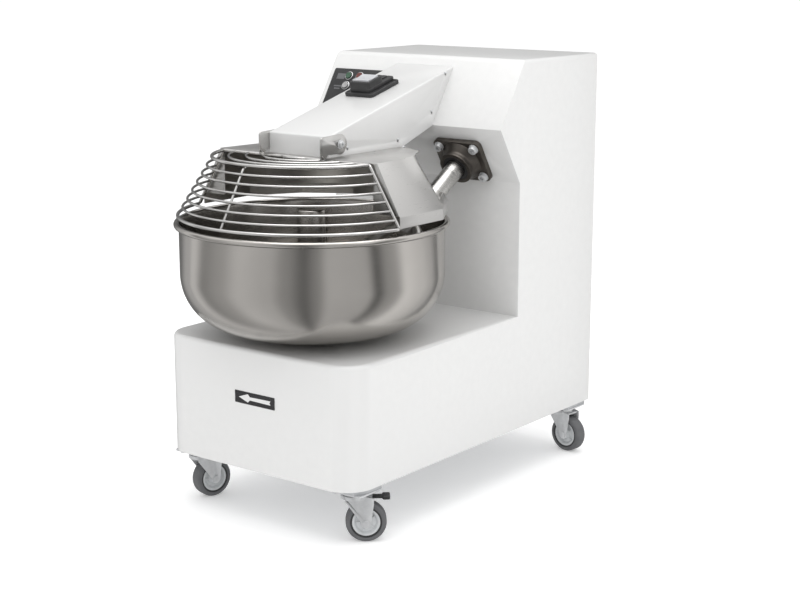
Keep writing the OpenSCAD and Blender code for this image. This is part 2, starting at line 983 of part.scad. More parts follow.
module motor() {
    fins = 24;
    color("steelblue") {
        translate([motor_face, motor_y, motor_z])
            rotate([0, 90, 0])
                difference() {
                    union() {
                        cylinder(r = motor_r, h = 12);
                        translate([0, 0, 12])
                            cylinder(r = motor_r - 10, h = motor_l - 60);
                        translate([0, 0, motor_l - 50])
                            cylinder(r = motor_r - 2, h = 50);
                        for (i = [0:fins - 1])
                            rotate([0, 0, i * 360 / fins])
                                translate([motor_r - 12, -1.5, 12])
                                    cube([9, 3, motor_l - 60]);
                    }
                    translate([0, 0, -1])
                        cylinder(r = 12 + fit, h = 31);
                }
        // feet on the chassis
        for (x = [motor_face + 30, motor_face + 130])
            translate([x, motor_y - 65, z_floor])
                cube([30, 130, 36]);
    }
}

module motor_pulley() {
    color("gray")
    translate([0, motor_y, motor_z])
        rotate([0, 90, 0]) {
            translate([0, 0, bowl_belt_x - pulley_w / 2])
                cylinder(r = 12, h = motor_face + 28 - bowl_belt_x + pulley_w / 2);
            translate([0, 0, fork_belt_x])
                pulley(motor_fork_r, 11);
            translate([0, 0, bowl_belt_x])
                pulley(motor_bowl_r, 11);
        }
}

// ---- Bowl and its drive ----

// Half section of a bowl: straight wall, round corner, flat bottom, from z = low up to z = high
module bowl_section(r, corner, low, high) {
    translate([0, low])
        square([r - corner, high - low]);
    translate([0, low + corner])
        square([r, high - low - corner]);
    intersection() {
        translate([r - corner, low + corner])
            circle(corner);
        translate([0, low])
            square([r, corner]);
    }
}

module bowl() {
    bead = 6;
    wall_r = bowl_r - 10;
    color("silver")
    translate([0, bowl_y, 0])
        rotate_extrude()
            difference() {
                union() {
                    bowl_section(wall_r, bowl_corner, z_bowl, z_rim - bead);
                    translate([bowl_r - bead, z_rim - bead])
                        circle(bead);
                    translate([wall_r - bowl_wall, z_rim - bead - 2])
                        square([bowl_wall + 3, 4]);
                }
                bowl_section(wall_r - bowl_wall, bowl_corner - bowl_wall, z_bowl + bowl_wall, z_rim + 1);
            }
}

module bowl_foot() {
    gap = 3;
    color("silver")
    translate([0, bowl_y, z_deck])
        difference() {
            union() {
                translate([0, 0, gap])
                    cylinder(r1 = foot_r - 3, r2 = foot_r, h = 4);
                translate([0, 0, gap + 4])
                    cylinder(r = foot_r, h = foot_h - gap - 4);
            }
            cylinder(r = spindle_r + fit, h = foot_h - 4);
        }
}

// Fixed to the bowl's bottom and a little taller than its rim
module centre_column() {
    r = column_d / 2;
    edge = 4;
    tall = bowl_h - bowl_wall + column_rise;
    color("silver")
    translate([0, bowl_y, z_bowl + bowl_wall])
        rotate_extrude() {
            square([r, tall - edge]);
            square([r - edge, tall]);
            translate([r - edge, tall - edge])
                circle(edge);
            square([r + 6, 5]);
        }
}

module bowl_spindle() {
    low = z_floor + 10;
    color("gray")
    translate([0, bowl_y, low])
        cylinder(r = spindle_r, h = z_deck + foot_h - 4 - low);
}

// Flanged tube under the deck that holds the spindle's bearings
module bearing_housing() {
    color("slategray")
    translate([0, bowl_y, 0])
        difference() {
            union() {
                translate([0, 0, z_gear_top])
                    cylinder(r = housing_r, h = z_deck - sheet - z_gear_top);
                translate([0, 0, z_deck - sheet - 12])
                    cylinder(r = 90, h = 12);
                translate([0, 0, z_gear_top])
                    cylinder(r = 70, h = 10);
            }
            translate([0, 0, z_gear_top - 1])
                cylinder(r = housing_bore, h = z_deck - z_gear_top);
        }
}

module bowl_bearings() {
    color("silver")
    for (z = [z_gear_top + 8, z_deck - sheet - 8 - bearing_h])
        translate([0, bowl_y, z])
            ring(housing_bore - fit, spindle_r + fit, bearing_h);
}

// Cast worm gearbox on the chassis, under the bowl
module bowl_gearbox() {
    wall = 8;
    front = bowl_y - gear_r - 14;
    rear = bowl_worm_y + bowl_worm_r + 14;
    color("slategray")
    difference() {
        translate([-gear_box_x, front, z_floor])
            cube([2 * gear_box_x, rear - front, gear_box_h]);
        translate([-gear_box_x + wall, front + wall, z_floor + wall])
            cube([2 * (gear_box_x - wall), rear - front - 2 * wall, gear_box_h - 2 * wall]);
        translate([0, bowl_y, z_gear_top - wall - 1])
            cylinder(r = spindle_r + slack, h = wall + 2);
        translate([-gear_box_x - 1, bowl_worm_y, gear_z])
            rotate([0, 90, 0])
                cylinder(r = worm_shaft_r + fit, h = wall + 2);
    }
}

module bowl_wheel() {
    color("goldenrod")
    translate([0, bowl_y, gear_z - gear_t / 2])
        toothed(gear_r, gear_t, spindle_r + fit, 40);
}

module bowl_worm() {
    left = bowl_belt_x - pulley_w / 2;
    right = gear_box_x - 8;
    color("gray")
    translate([0, bowl_worm_y, gear_z])
        rotate([0, 90, 0]) {
            translate([0, 0, left])
                cylinder(r = worm_shaft_r, h = right - left - 0.3);
            translate([0, 0, -45])
                cylinder(r = bowl_worm_r, h = 90);
        }
}

module bowl_pulley() {
    color("dimgray")
    translate([bowl_belt_x, bowl_worm_y, gear_z])
        rotate([0, 90, 0])
            pulley(bowl_pulley_r, worm_shaft_r + fit);
}

// ---- Casters ----

// Frame of caster i, turned about its swivel: +X is the way the wheel trails
module at_caster(i) {
    translate(concat(caster_spots[i], [0]))
        rotate([0, 0, caster_turns[i]])
            children();
}

head_z = z_pad - plate_t - 7;                     // top of the fork's head
king_r = 6;

module caster_plates() {
    color("silver")
    for (c = caster_spots)
        translate([c.x, c.y, 0]) {
            difference() {
                translate([0, 0, z_pad - plate_t])
                    linear_extrude(plate_t)
                        round_rect(plate_size, 6);
                for (x = [-1, 1], y = [-1, 1])
                    translate([x * plate_bolt.x, y * plate_bolt.y, z_pad - plate_t - 1])
                        cylinder(r = 4 + fit, h = plate_t + 2);
            }
            translate([0, 0, head_z + 0.5])
                cylinder(r = 24, h = z_pad - plate_t - head_z - 0.5);
            translate([0, 0, head_z - 12])
                cylinder(r = king_r, h = 14);
            translate([0, 0, head_z - 12])
                cylinder(r = 9, h = 4);
        }
}

module caster_bolts() {
    color("silver")
    for (c = caster_spots, x = [-1, 1], y = [-1, 1])
        translate([c.x + x * plate_bolt.x, c.y + y * plate_bolt.y, z_pad - plate_t]) {
            translate([0, 0, -5])
                cylinder(r = 6.5, h = 5, $fn = 6);
            translate([0, 0, -1])
                cylinder(r = 4, h = plate_t + pad_t + chassis_t + 4);
        }
}

// Pressed-steel fork: a head on the king pin, two legs and a riveted axle
module caster_fork(i) {
    axle_r = 4;
    foot = 10;
    head = 7.5;
    color("silver")
    at_caster(i)
        difference() {
            union() {
                translate([0, 0, head_z - head])
                    cylinder(r = 27, h = head);
                translate([0, -leg_in - leg_t, head_z - head])
                    cube([34, 2 * (leg_in + leg_t), 2.5]);
                for (s = [-1, 1])
                    translate([0, s * (leg_in + leg_t / 2), 0])
                        rotate([90, 0, 0])
                            translate([0, 0, -leg_t / 2])
                                linear_extrude(leg_t) {
                                    translate([trail, wheel_r2])
                                        circle(foot);
                                    polygon([[-20, head_z - 1], [-18, head_z - 12],
                                             [trail - foot, wheel_r2 + 2], [trail + foot, wheel_r2 + 2],
                                             [37, head_z - 16], [37, head_z - head + 2.5],
                                             [20, head_z - 1]]);
                                }
                translate([trail, leg_in + leg_t + 3, wheel_r2])
                    rotate([90, 0, 0])
                        cylinder(r = axle_r, h = 2 * (leg_in + leg_t + 3));
                for (s = [-1, 1])
                    translate([trail, s * (leg_in + leg_t + 1.5) + 1.5, wheel_r2])
                        rotate([90, 0, 0])
                            cylinder(r = 7, h = 3);
            }
            translate([0, 0, head_z - head - 1])
                cylinder(r = king_r + fit, h = head + 2);
            translate([0, 0, head_z - 20])
                cylinder(r = 9.5, h = 20 - head + 1);
        }
}

// Wheel centre with a dished web and a plain bore
module wheel(i) {
    color("lightgray")
    at_caster(i)
        translate([trail, 0, wheel_r2])
            rotate([90, 0, 0])
                rotate_extrude()
                    difference() {
                        translate([4 + fit, -hub_w / 2])
                            square([tyre_in - 4 - fit, hub_w]);
                        for (s = [-1, 1])
                            polygon([[12, s * (hub_w / 2 + 1)], [11, s * (hub_w / 2 - 7)],
                                     [22, s * (hub_w / 2 - 7)], [24, s * (hub_w / 2 + 1)]]);
                        for (s = [-1, 1])
                            translate([tyre_in - 1.5, s > 0 ? tyre_w / 2 - 1 : -tyre_w / 2 - 1])
                                square([3, 2]);
                    }
}

module tyre(i) {
    round = 5;
    color("dimgray")
    at_caster(i)
        translate([trail, 0, wheel_r2])
            rotate([90, 0, 0])
                rotate_extrude() {
                    translate([tyre_in, -tyre_w / 2])
                        square([wheel_r2 - round - tyre_in, tyre_w]);
                    translate([tyre_in, -tyre_w / 2 + round])
                        square([wheel_r2 - tyre_in, tyre_w - 2 * round]);
                    for (s = [-1, 1])
                        translate([wheel_r2 - round, s * (tyre_w / 2 - round)])
                            circle(round);
                }
}

// Total-lock pedal over the wheel of each front caster
module brake_pedal(i) {
    color("black")
    at_caster(i)
        translate([0, 0, head_z - 5]) {
            translate([34.5, -9, -3])
                cube([pedal_reach - 40, 18, 4]);
            translate([pedal_reach - 16, -13, -5])
                cube([16, 26, 8]);
        }
}

body_shell();
chassis_plate();
rear_panel();
rear_screws();
cable_gland();
arrow_label();
arm_shell();
arm_beam();
cover_screws();
bowl_cover();
guard_frame();
guard_brackets();
guard_pivots();
control_panel();
push_button(0);  // button_1
push_button(1);  // button_2
push_button(2);  // button_3
push_button(3);  // button_4
switch_housing();
switch_rocker();
bearing_flange();
flange_bolts();
shaft_seal();
fork_gearbox();
fork_bearings();
fork_shaft();
fork();
fork_wheel();
fork_worm();
fork_pulley();
bowl();
bowl_foot();
centre_column();
bowl_spindle();
bearing_housing();
bowl_bearings();
bowl_gearbox();
bowl_wheel();
bowl_worm();
bowl_pulley();
motor();
motor_pulley();
fork_belt();
bowl_belt();
caster_plates();
caster_bolts();
caster_fork(0);  // caster_fork_1
caster_fork(1);  // caster_fork_2
caster_fork(2);  // caster_fork_3
caster_fork(3);  // caster_fork_4
wheel(0);  // wheel_1
wheel(1);  // wheel_2
wheel(2);  // wheel_3
wheel(3);  // wheel_4
tyre(0);  // tyre_1
tyre(1);  // tyre_2
tyre(2);  // tyre_3
tyre(3);  // tyre_4
brake_pedal(0);  // brake_pedal_1
brake_pedal(1);  // brake_pedal_2
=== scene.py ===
# %% [markdown]
# # A fork kneader, piece by piece
#
# The machine is a white steel cabinet on four casters. A stainless bowl turns on its low
# front part, an arm reaches over the bowl, and a fork on a slanting shaft kneads the dough.
# The moving model comes in first as a fixed frame. Every visible piece is then made again
# with rounder edges and a real finish, and it rides on the body that it belongs to.

# %% Load the frame
import json
import bmesh
import bpy
import numpy as np
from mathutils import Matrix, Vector


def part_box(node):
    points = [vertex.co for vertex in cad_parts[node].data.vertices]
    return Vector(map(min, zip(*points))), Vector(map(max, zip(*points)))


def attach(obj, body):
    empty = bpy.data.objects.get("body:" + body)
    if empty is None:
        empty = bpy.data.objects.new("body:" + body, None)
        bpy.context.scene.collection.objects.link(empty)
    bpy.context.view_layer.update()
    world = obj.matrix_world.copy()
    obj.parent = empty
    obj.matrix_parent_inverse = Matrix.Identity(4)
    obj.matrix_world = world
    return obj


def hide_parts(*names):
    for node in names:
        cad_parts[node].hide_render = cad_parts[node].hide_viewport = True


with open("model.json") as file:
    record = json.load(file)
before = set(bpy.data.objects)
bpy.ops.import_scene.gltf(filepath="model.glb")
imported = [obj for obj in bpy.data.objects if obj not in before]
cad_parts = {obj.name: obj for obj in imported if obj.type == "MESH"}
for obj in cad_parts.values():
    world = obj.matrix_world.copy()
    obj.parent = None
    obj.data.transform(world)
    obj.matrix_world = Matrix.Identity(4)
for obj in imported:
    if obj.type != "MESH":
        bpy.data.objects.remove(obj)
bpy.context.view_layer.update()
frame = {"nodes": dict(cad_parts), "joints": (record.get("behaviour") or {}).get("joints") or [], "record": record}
nodes = frame["nodes"]
joints = {j["name"]: j for j in frame["joints"]}

# %% [markdown]
# Sizes are read from the frame, so that each piece lies where the moving model has it.
# A joint gives an axis, and the box of a node gives how far it reaches. Everything is in
# metres, and a millimetre is a handy small unit for edges and wires.

# %% Measure the frame
MM = 0.001
UP = np.array([0.0, 0.0, 1.0])
RIGHT = np.array([1.0, 0.0, 0.0])
BACK = np.array([0.0, 1.0, 0.0])


def joint_place(name):
    """Where a joint is, and the direction of its axis. A slide has a direction only."""
    joint = joints[name]
    return np.array(joint.get("pos_m", (0, 0, 0)), float), np.array(joint["axis"], float)


def box(name):
    """Lowest and highest corner of a node, as arrays."""
    low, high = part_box(name)
    return np.array(low), np.array(high)


bowl_low, bowl_high = box("bowl")
bowl_centre = (bowl_low + bowl_high) / 2
bowl_radius = (bowl_high[0] - bowl_low[0]) / 2
rim_z = bowl_high[2]
fork_at, fork_down = joint_place("fork_spin")
pivot_at, _ = joint_place("guard_lift")
print("bowl radius", round(bowl_radius, 4), "rim at", round(rim_z, 4))

# %% [markdown]
# ## Surfaces from arrays
#
# Most pieces are one of three shapes: a profile turned round an axis, a ring carried along
# a path, or an outline stacked in layers. Each is a grid of points worked out as one array.
# Neighbouring rows and columns are then joined by quads, and a grid that closes on itself
# joins its last column to its first.

# %% A grid of points becomes quads


def grid(points, wrap_rows=False, wrap_cols=False):
    """Quad (i, j) joins points (i, j), (i, j+1), (i+1, j+1) and (i+1, j). On the map, u counts the
    columns from 0 to 1, and v is the length along the first column, in metres."""
    rows, cols = points.shape[:2]
    steps = np.linalg.norm(np.roll(points[:, 0], -1, 0) - points[:, 0], axis=-1)
    v_at = np.concatenate([[0], np.cumsum(steps)])
    i, j = np.meshgrid(
        np.arange(rows - (not wrap_rows)), np.arange(cols - (not wrap_cols)), indexing="ij"
    )
    i, j = i.ravel(), j.ravel()
    corners = [(i, j), (i, j + 1), (i + 1, j + 1), (i + 1, j)]
    faces = np.stack([(a % rows) * cols + b % cols for a, b in corners], -1)
    uv = np.stack([np.stack([b / cols, v_at[a]], -1) for a, b in corners], 1)
    return points.reshape(-1, 3), faces.tolist(), uv.reshape(-1, 2)


def cap(ring):
    """One flat face over a ring of points."""
    return ring, [list(range(len(ring)))], np.zeros((len(ring), 2))


def together(shapes):
    """Several shapes as one: the point numbers of each start after those of the last."""
    points, faces, uvs, count = [], [], [], 0
    for part_points, part_faces, part_uv in shapes:
        points.append(part_points)
        faces += [[k + count for k in face] for face in part_faces]
        uvs.append(part_uv)
        count += len(part_points)
    return np.concatenate(points), faces, np.concatenate(uvs)


print("grids ready")

# %% [markdown]
# A corner that a tool bent or cast is never sharp. This helper replaces each corner of a
# line with the arc that touches both of its sides. It works in the plane and in space, so
# the same arc rounds a plate's outline and the bend in a wire.

# %% Round the corners of a line


def unit(v):
    """The vector with length one."""
    return np.asarray(v, float) / np.linalg.norm(v)


def rounded_line(corners, radius, steps=6, closed=False):
    """The arc at corner P turns by t between directions u and v, and starts r tan(t/2) before P."""
    corners = [np.asarray(c, float) for c in corners]
    radii = np.broadcast_to(radius, len(corners))
    line = []
    for k, here in enumerate(corners):
        ends = not closed and k in (0, len(corners) - 1)
        if ends or radii[k] == 0:
            line.append(here[None])
            continue
        u = unit(here - corners[k - 1])
        v = unit(corners[(k + 1) % len(corners)] - here)
        turn = np.arccos(np.clip(u @ v, -1, 1))
        start = here - u * radii[k] * np.tan(turn / 2)
        centre = here + unit(v - u) * radii[k] / np.cos(turn / 2)
        angle = np.linspace(0, turn, steps + 1)[:, None]
        line.append(centre + np.cos(angle) * (start - centre) + np.sin(angle) * u * radii[k])
    return np.concatenate(line)


def plate_outline(width, height, radius, steps=6):
    """A rectangle round the origin, counter-clockwise, with round corners."""
    x, y = width / 2, height / 2
    return rounded_line([(-x, -y), (x, -y), (x, y), (-x, y)], radius, steps, closed=True)


print("rounded line:", len(plate_outline(2, 1, 0.1)), "points for a plate")

# %% [markdown]
# Three makers follow: the lathe, the bent tube and the layered plate. The plate is drawn
# inward a little in its first and last layers, which gives its rim a small round edge.

# %% Lathe, tube and plate


def lathe(profile, turns=64, loop=False):
    """Point (i, j) is (r_i cos a_j, r_i sin a_j, z_i), for a profile of (r, z) rows."""
    profile = np.asarray(profile, float)
    angle = np.linspace(0, 2 * np.pi, turns, endpoint=False)
    r, z = profile[:, :1], profile[:, 1:]
    points = np.stack([r * np.cos(angle), r * np.sin(angle), z + 0 * angle], -1)
    return grid(points, wrap_rows=loop, wrap_cols=True)


def tube(path, radius, flat_way, sides=12, loop=False, round_ends=True, swell=None):
    """Ring k is path_k + R_k (cos a side_k + sin a up_k); R falls as a circle does at a round end.
    swell(share) scales R along the path, and flat_way is a direction that the path never takes."""
    path = np.asarray(path, float)
    if loop:
        way = np.roll(path, -1, 0) - np.roll(path, 1, 0)
        radii = np.full(len(path), radius)
    else:
        step = np.linalg.norm(np.diff(path, axis=0), axis=1)
        along = np.concatenate([[0], np.cumsum(step)])
        bulge = radius * (1 - np.cos(np.linspace(0, np.pi / 2, 5))) if round_ends else np.zeros(1)
        inner = along[(along > radius) & (along < along[-1] - radius)]
        stations = np.concatenate([bulge, inner, along[-1] - bulge[::-1]])
        path = np.stack([np.interp(stations, along, axis) for axis in path.T], -1)
        depth = np.minimum(np.minimum(stations, along[-1] - stations), radius)
        radii = np.sqrt(np.maximum(radius**2 - (radius - depth) ** 2, 0))
        if not round_ends:
            radii = np.full(len(path), radius)
        if swell:
            radii = radii * swell(stations / along[-1])
        way = np.gradient(path, axis=0)
    way = way / np.linalg.norm(way, axis=1, keepdims=True)
    up = flat_way - (way @ flat_way)[:, None] * way
    up = up / np.linalg.norm(up, axis=1, keepdims=True)
    side = np.cross(way, up)
    angle = np.linspace(0, 2 * np.pi, sides, endpoint=False)[None, :, None]
    ring = np.cos(angle) * side[:, None] + np.sin(angle) * up[:, None]
    return grid(path[:, None] + radii[:, None, None] * ring, wrap_rows=loop, wrap_cols=True)


def drawn_in(outline, inward):
    """Each point moves inward along the mean normal of its two sides, for a closed outline."""
    before = outline - np.roll(outline, 1, 0)
    after = np.roll(outline, -1, 0) - outline
    before = before / np.linalg.norm(before, axis=1, keepdims=True)
    after = after / np.linalg.norm(after, axis=1, keepdims=True)
    lean = before + after
    normal = np.stack([-lean[:, 1], lean[:, 0]], -1)
    normal = normal / np.linalg.norm(normal, axis=1, keepdims=True)
    cosine = np.clip((normal * np.stack([-after[:, 1], after[:, 0]], -1)).sum(1), 0.3, 1)
    return outline + inward * normal / cosine[:, None]


def plate(outline, low, high, edge, steps=3, closed_below=True):
    """Layers of one outline: the side wall, then a quarter circle of radius edge into the top."""
    angle = np.linspace(0, np.pi / 2, steps + 1)
    inward = edge * (1 - np.cos(angle))
    rise = edge * np.sin(angle)
    layers = [(d, low + edge - z) for d, z in zip(inward[::-1], rise[::-1])]
    layers += [(d, high - edge + z) for d, z in zip(inward, rise)]
    rings = [np.column_stack([drawn_in(outline, d), np.full(len(outline), z)]) for d, z in layers]
    parts = [grid(np.stack(rings), wrap_cols=True), cap(rings[-1])]
    if closed_below:
        parts.append(cap(rings[0][::-1]))
    return together(parts)


print("lathe, tube and plate ready")

# %% [markdown]
# A shape drawn round its own origin has to be carried to its place. The mesh takes the
# place and the object stays at the origin, as the frame's own nodes do, so that a pattern
# on object coordinates neither slides nor turns.

# %% Carry a shape to its place and make it a piece


def carried(shape, origin, z_way=UP, x_way=RIGHT):
    """Point (x, y, z) goes to origin + x X + y Y + z Z, where Z is z_way and X is square to it."""
    points, faces, uv = shape
    z_axis = unit(z_way)
    x_axis = unit(np.asarray(x_way, float) - (np.asarray(x_way, float) @ z_axis) * z_axis)
    axes = np.stack([x_axis, np.cross(z_axis, x_axis), z_axis])
    return np.asarray(origin, float) + points @ axes, faces, uv


def tidy_mesh(mesh, crease=32.0, merge=1e-6):
    """Closes seams and poles, turns every shell outwards and keeps edges above the crease sharp."""
    work = bmesh.new()
    work.from_mesh(mesh)
    bmesh.ops.remove_doubles(work, verts=work.verts, dist=merge)
    bmesh.ops.recalc_face_normals(work, faces=work.faces)
    work.to_mesh(mesh)
    work.free()
    mesh.shade_smooth()
    mesh.set_sharp_from_angle(angle=np.radians(crease))


def piece(name, shapes, body, slot, replaces=(), crease=32.0):
    """Makes one object from shapes, rides it on a body and hides the nodes that it stands for."""
    points, faces, uv = together(shapes)
    mesh = bpy.data.meshes.new(name)
    mesh.from_pydata(points.tolist(), [], faces)
    layer = mesh.uv_layers.new(name="turned")
    layer.data.foreach_set("uv", uv.astype(np.float32).ravel())
    tidy_mesh(mesh, crease)
    return settle(bpy.data.objects.new(name, mesh), body, slot, replaces)


def settle(thing, body, slot, replaces=()):
    """Links a finished object, rides it on its body, gives it the finish of its slot and hides the nodes that it
    stands for.
    """
    bpy.context.scene.collection.objects.link(thing)
    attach(thing, body)
    thing.data.materials.clear()
    thing.data.materials.append(finishes[slot])
    if replaces:
        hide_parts(*replaces)
    print(thing.name, len(thing.data.polygons), "faces on", body)
    return thing


def softened(name, node, body, slot, radius, steps=3, angle=25.0, also=()):
    """A merged copy of a node, with flat areas joined and every edge above the angle rounded.
    also lists (test, radius) pairs: an edge whose middle passes the test is rounded more."""
    mesh = nodes[node].data.copy()
    mesh.name = name
    work = bmesh.new()
    work.from_mesh(mesh)
    bmesh.ops.remove_doubles(work, verts=work.verts, dist=2e-6)
    bmesh.ops.dissolve_limit(
        work, angle_limit=np.radians(0.8), verts=work.verts, edges=work.edges
    )
    for test, wide in also:
        chosen = [
            e for e in work.edges
            if len(e.link_faces) == 2 and e.calc_face_angle(0) > np.radians(angle)
            and test((e.verts[0].co + e.verts[1].co) / 2)
        ]
        bmesh.ops.bevel(
            work, geom=chosen, offset=wide, segments=6, profile=0.5, affect="EDGES",
            clamp_overlap=True,
        )
    sharp = [
        e for e in work.edges
        if len(e.link_faces) == 2 and e.calc_face_angle(0) > np.radians(angle)
    ]
    bmesh.ops.bevel(
        work, geom=sharp, offset=radius, segments=steps, profile=0.5, affect="EDGES",
        clamp_overlap=True,
    )
    work.to_mesh(mesh)
    work.free()
    mesh.shade_smooth()
    mesh.set_sharp_from_angle(angle=np.radians(38))
    thing = bpy.data.objects.new(name, mesh)
    return settle(thing, body, slot, (node,))


print("piece makers ready")

# %% [markdown]
# ## Finishes
#
# Each finish is a Principled shader whose colour, roughness and small relief vary over the
# surface. The variation comes from a few node groups: a cloudy tone, a brushed grain and a
# rubbed edge. A group is built once, and each finish gives it its own scale and strength.

# %% Helpers for node trees


def put(tree, kind, inputs=(), **settings):
    """Adds a node, sets its properties, and then the inputs that are given by name."""
    node = tree.nodes.new(kind)
    for key, value in settings.items():
        setattr(node, key, value)
    for label, value in dict(inputs).items():
        node.inputs[label].default_value = value
    return node


def wire_up(tree, *pairs):
    """Joins each output to its input."""
    for source, target in pairs:
        tree.links.new(source, target)


def calculate(tree, operation, *values, **settings):
    """The output of a math node whose inputs are numbers or the outputs of other nodes."""
    node = put(tree, "ShaderNodeMath", operation=operation, **settings)
    for socket, value in zip(node.inputs, values):
        if isinstance(value, float):
            socket.default_value = value
        else:
            tree.links.new(value, socket)
    return node.outputs["Value"]


def spread_noise(tree, detail, roughness):
    """A noise node of scale 1, and a node that spreads its middle values from 0 to 1."""
    noise = put(tree, "ShaderNodeTexNoise",
                {"Scale": 1.0, "Detail": detail, "Roughness": roughness})
    spread = put(tree, "ShaderNodeMapRange", {"From Min": 0.3, "From Max": 0.7}, clamp=True)
    wire_up(tree, (noise.outputs["Fac"], spread.inputs["Value"]))
    return noise, spread


def new_group(name, inputs, output):
    """An empty group with named sockets; an input is (name, kind, value)."""
    group = bpy.data.node_groups.new(name, "ShaderNodeTree")
    for label, kind, value in inputs:
        socket = group.interface.new_socket(name=label, in_out="INPUT", socket_type=kind)
        if value is not None:
            socket.default_value = value
    group.interface.new_socket(name=output, in_out="OUTPUT", socket_type=FLOAT)
    print("group:", name)
    return group, put(group, "NodeGroupInput"), put(group, "NodeGroupOutput")


FLOAT, VECTOR = "NodeSocketFloat", "NodeSocketVector"

# %% [markdown]
# The cloudy tone is soft noise at two sizes. No painted or plated sheet is one even
# colour, and a slow drift of a few per cent is enough to make it look like a thing.

# %% Group: cloudy tone
cloud_group, gin, gout = new_group(
    "cloudy tone",
    [("Vector", VECTOR, None), ("Scale", FLOAT, 5.0), ("Detail", FLOAT, 4.0), ("Low", FLOAT, 0.0),
     ("High", FLOAT, 1.0)],
    "Tone",
)
noise, spread = spread_noise(cloud_group, 4.0, 0.5)
wire_up(
    cloud_group,
    (gin.outputs["Vector"], noise.inputs["Vector"]),
    (gin.outputs["Scale"], noise.inputs["Scale"]),
    (gin.outputs["Detail"], noise.inputs["Detail"]),
    (gin.outputs["Low"], spread.inputs["To Min"]),
    (gin.outputs["High"], spread.inputs["To Max"]),
    (spread.outputs["Result"], gout.inputs["Tone"]),
)

# %% [markdown]
# Brushing leaves fine parallel scratches. Noise that is squeezed across the scratches and
# drawn out along them looks the same: the group stretches the coordinates first.

# %% Group: brushed grain
grain_group, gin, gout = new_group(
    "brushed grain",
    [("Vector", VECTOR, None), ("Stretch", VECTOR, (1.0, 1.0, 1.0)), ("Low", FLOAT, 0.0),
     ("High", FLOAT, 1.0)],
    "Grain",
)
stretch = put(grain_group, "ShaderNodeVectorMath", operation="MULTIPLY")
noise, spread = spread_noise(grain_group, 5.0, 0.65)
wire_up(
    grain_group,
    (gin.outputs["Vector"], stretch.inputs[0]),
    (gin.outputs["Stretch"], stretch.inputs[1]),
    (stretch.outputs["Vector"], noise.inputs["Vector"]),
    (gin.outputs["Low"], spread.inputs["To Min"]),
    (gin.outputs["High"], spread.inputs["To Max"]),
    (spread.outputs["Result"], gout.inputs["Grain"]),
)

# %% [markdown]
# A turned part has its scratches round the axis. The lathe's map gives the turn u and the
# length v. Plain u jumps from 1 back to 0 at the seam, so the group bends it into a circle
# with a cosine and a sine, and the grain closes on itself.

# %% Group: turned grain
turned_group, gin, gout = new_group(
    "turned grain",
    [("Vector", VECTOR, None), ("Round", FLOAT, 1.0), ("Lines per metre", FLOAT, 900.0)],
    "Grain",
)
apart = put(turned_group, "ShaderNodeSeparateXYZ")
full_turn = calculate(turned_group, "MULTIPLY", apart.outputs["X"], 2 * np.pi)
cosine = calculate(turned_group, "COSINE", full_turn)
sine = calculate(turned_group, "SINE", full_turn)
circle_x = calculate(turned_group, "MULTIPLY", cosine, gin.outputs["Round"])
circle_y = calculate(turned_group, "MULTIPLY", sine, gin.outputs["Round"])
lines = calculate(turned_group, "MULTIPLY", apart.outputs["Y"], gin.outputs["Lines per metre"])
joined = put(turned_group, "ShaderNodeCombineXYZ")
noise, spread = spread_noise(turned_group, 4.0, 0.7)
wire_up(
    turned_group,
    (gin.outputs["Vector"], apart.inputs["Vector"]),
    (circle_x, joined.inputs["X"]),
    (circle_y, joined.inputs["Y"]),
    (lines, joined.inputs["Z"]),
    (joined.outputs["Vector"], noise.inputs["Vector"]),
    (spread.outputs["Result"], gout.inputs["Grain"]),
)

# %% [markdown]
# Hands and cloths rub the outer edges first. On the white and grey paint the same mask lays a
# lighter line along every convex edge, which is a painted highlight. Pointiness tells how far
# the surface bulges at a point, and noise breaks the line up so that it doesn't look drawn.

# %% Group: edge wear and painted edge highlight
wear_and_highlight_group, gin, gout = new_group(
    "edge wear and highlight", [("Vector", VECTOR, None), ("Amount", FLOAT, 0.5)], "Mask"
)
geometry = put(wear_and_highlight_group, "ShaderNodeNewGeometry")
bulge = put(wear_and_highlight_group, "ShaderNodeMapRange", {"From Min": 0.52, "From Max": 0.62}, clamp=True)
patchy = put(wear_and_highlight_group, "ShaderNodeTexNoise", {"Scale": 60.0})
broken = calculate(wear_and_highlight_group, "MULTIPLY", bulge.outputs["Result"], patchy.outputs["Fac"])
scaled = calculate(wear_and_highlight_group, "MULTIPLY", broken, gin.outputs["Amount"], use_clamp=True)
wire_up(
    wear_and_highlight_group,
    (geometry.outputs["Pointiness"], bulge.inputs["Value"]),
    (gin.outputs["Vector"], patchy.inputs["Vector"]),
    (scaled, gout.inputs["Mask"]),
)

# %% [markdown]
# One function builds every finish from a small list of facts, so that all of them share
# the same wiring: two tones of the base colour, a range of roughness, a lighter edge tint
# and a fine relief. The edge tint is a painted highlight on the white and grey paint and
# rubbed wear on the other finishes. The kind of pattern decides which group drives the
# roughness and the relief.

# %% Build one finish
finishes = {}
PATTERNS = {
    "clouds": (cloud_group, "Scale", "Tone", "Object"),
    "brushed": (grain_group, "Stretch", "Grain", "Object"),
    "turned": (turned_group, "Lines per metre", "Grain", "UV"),
}


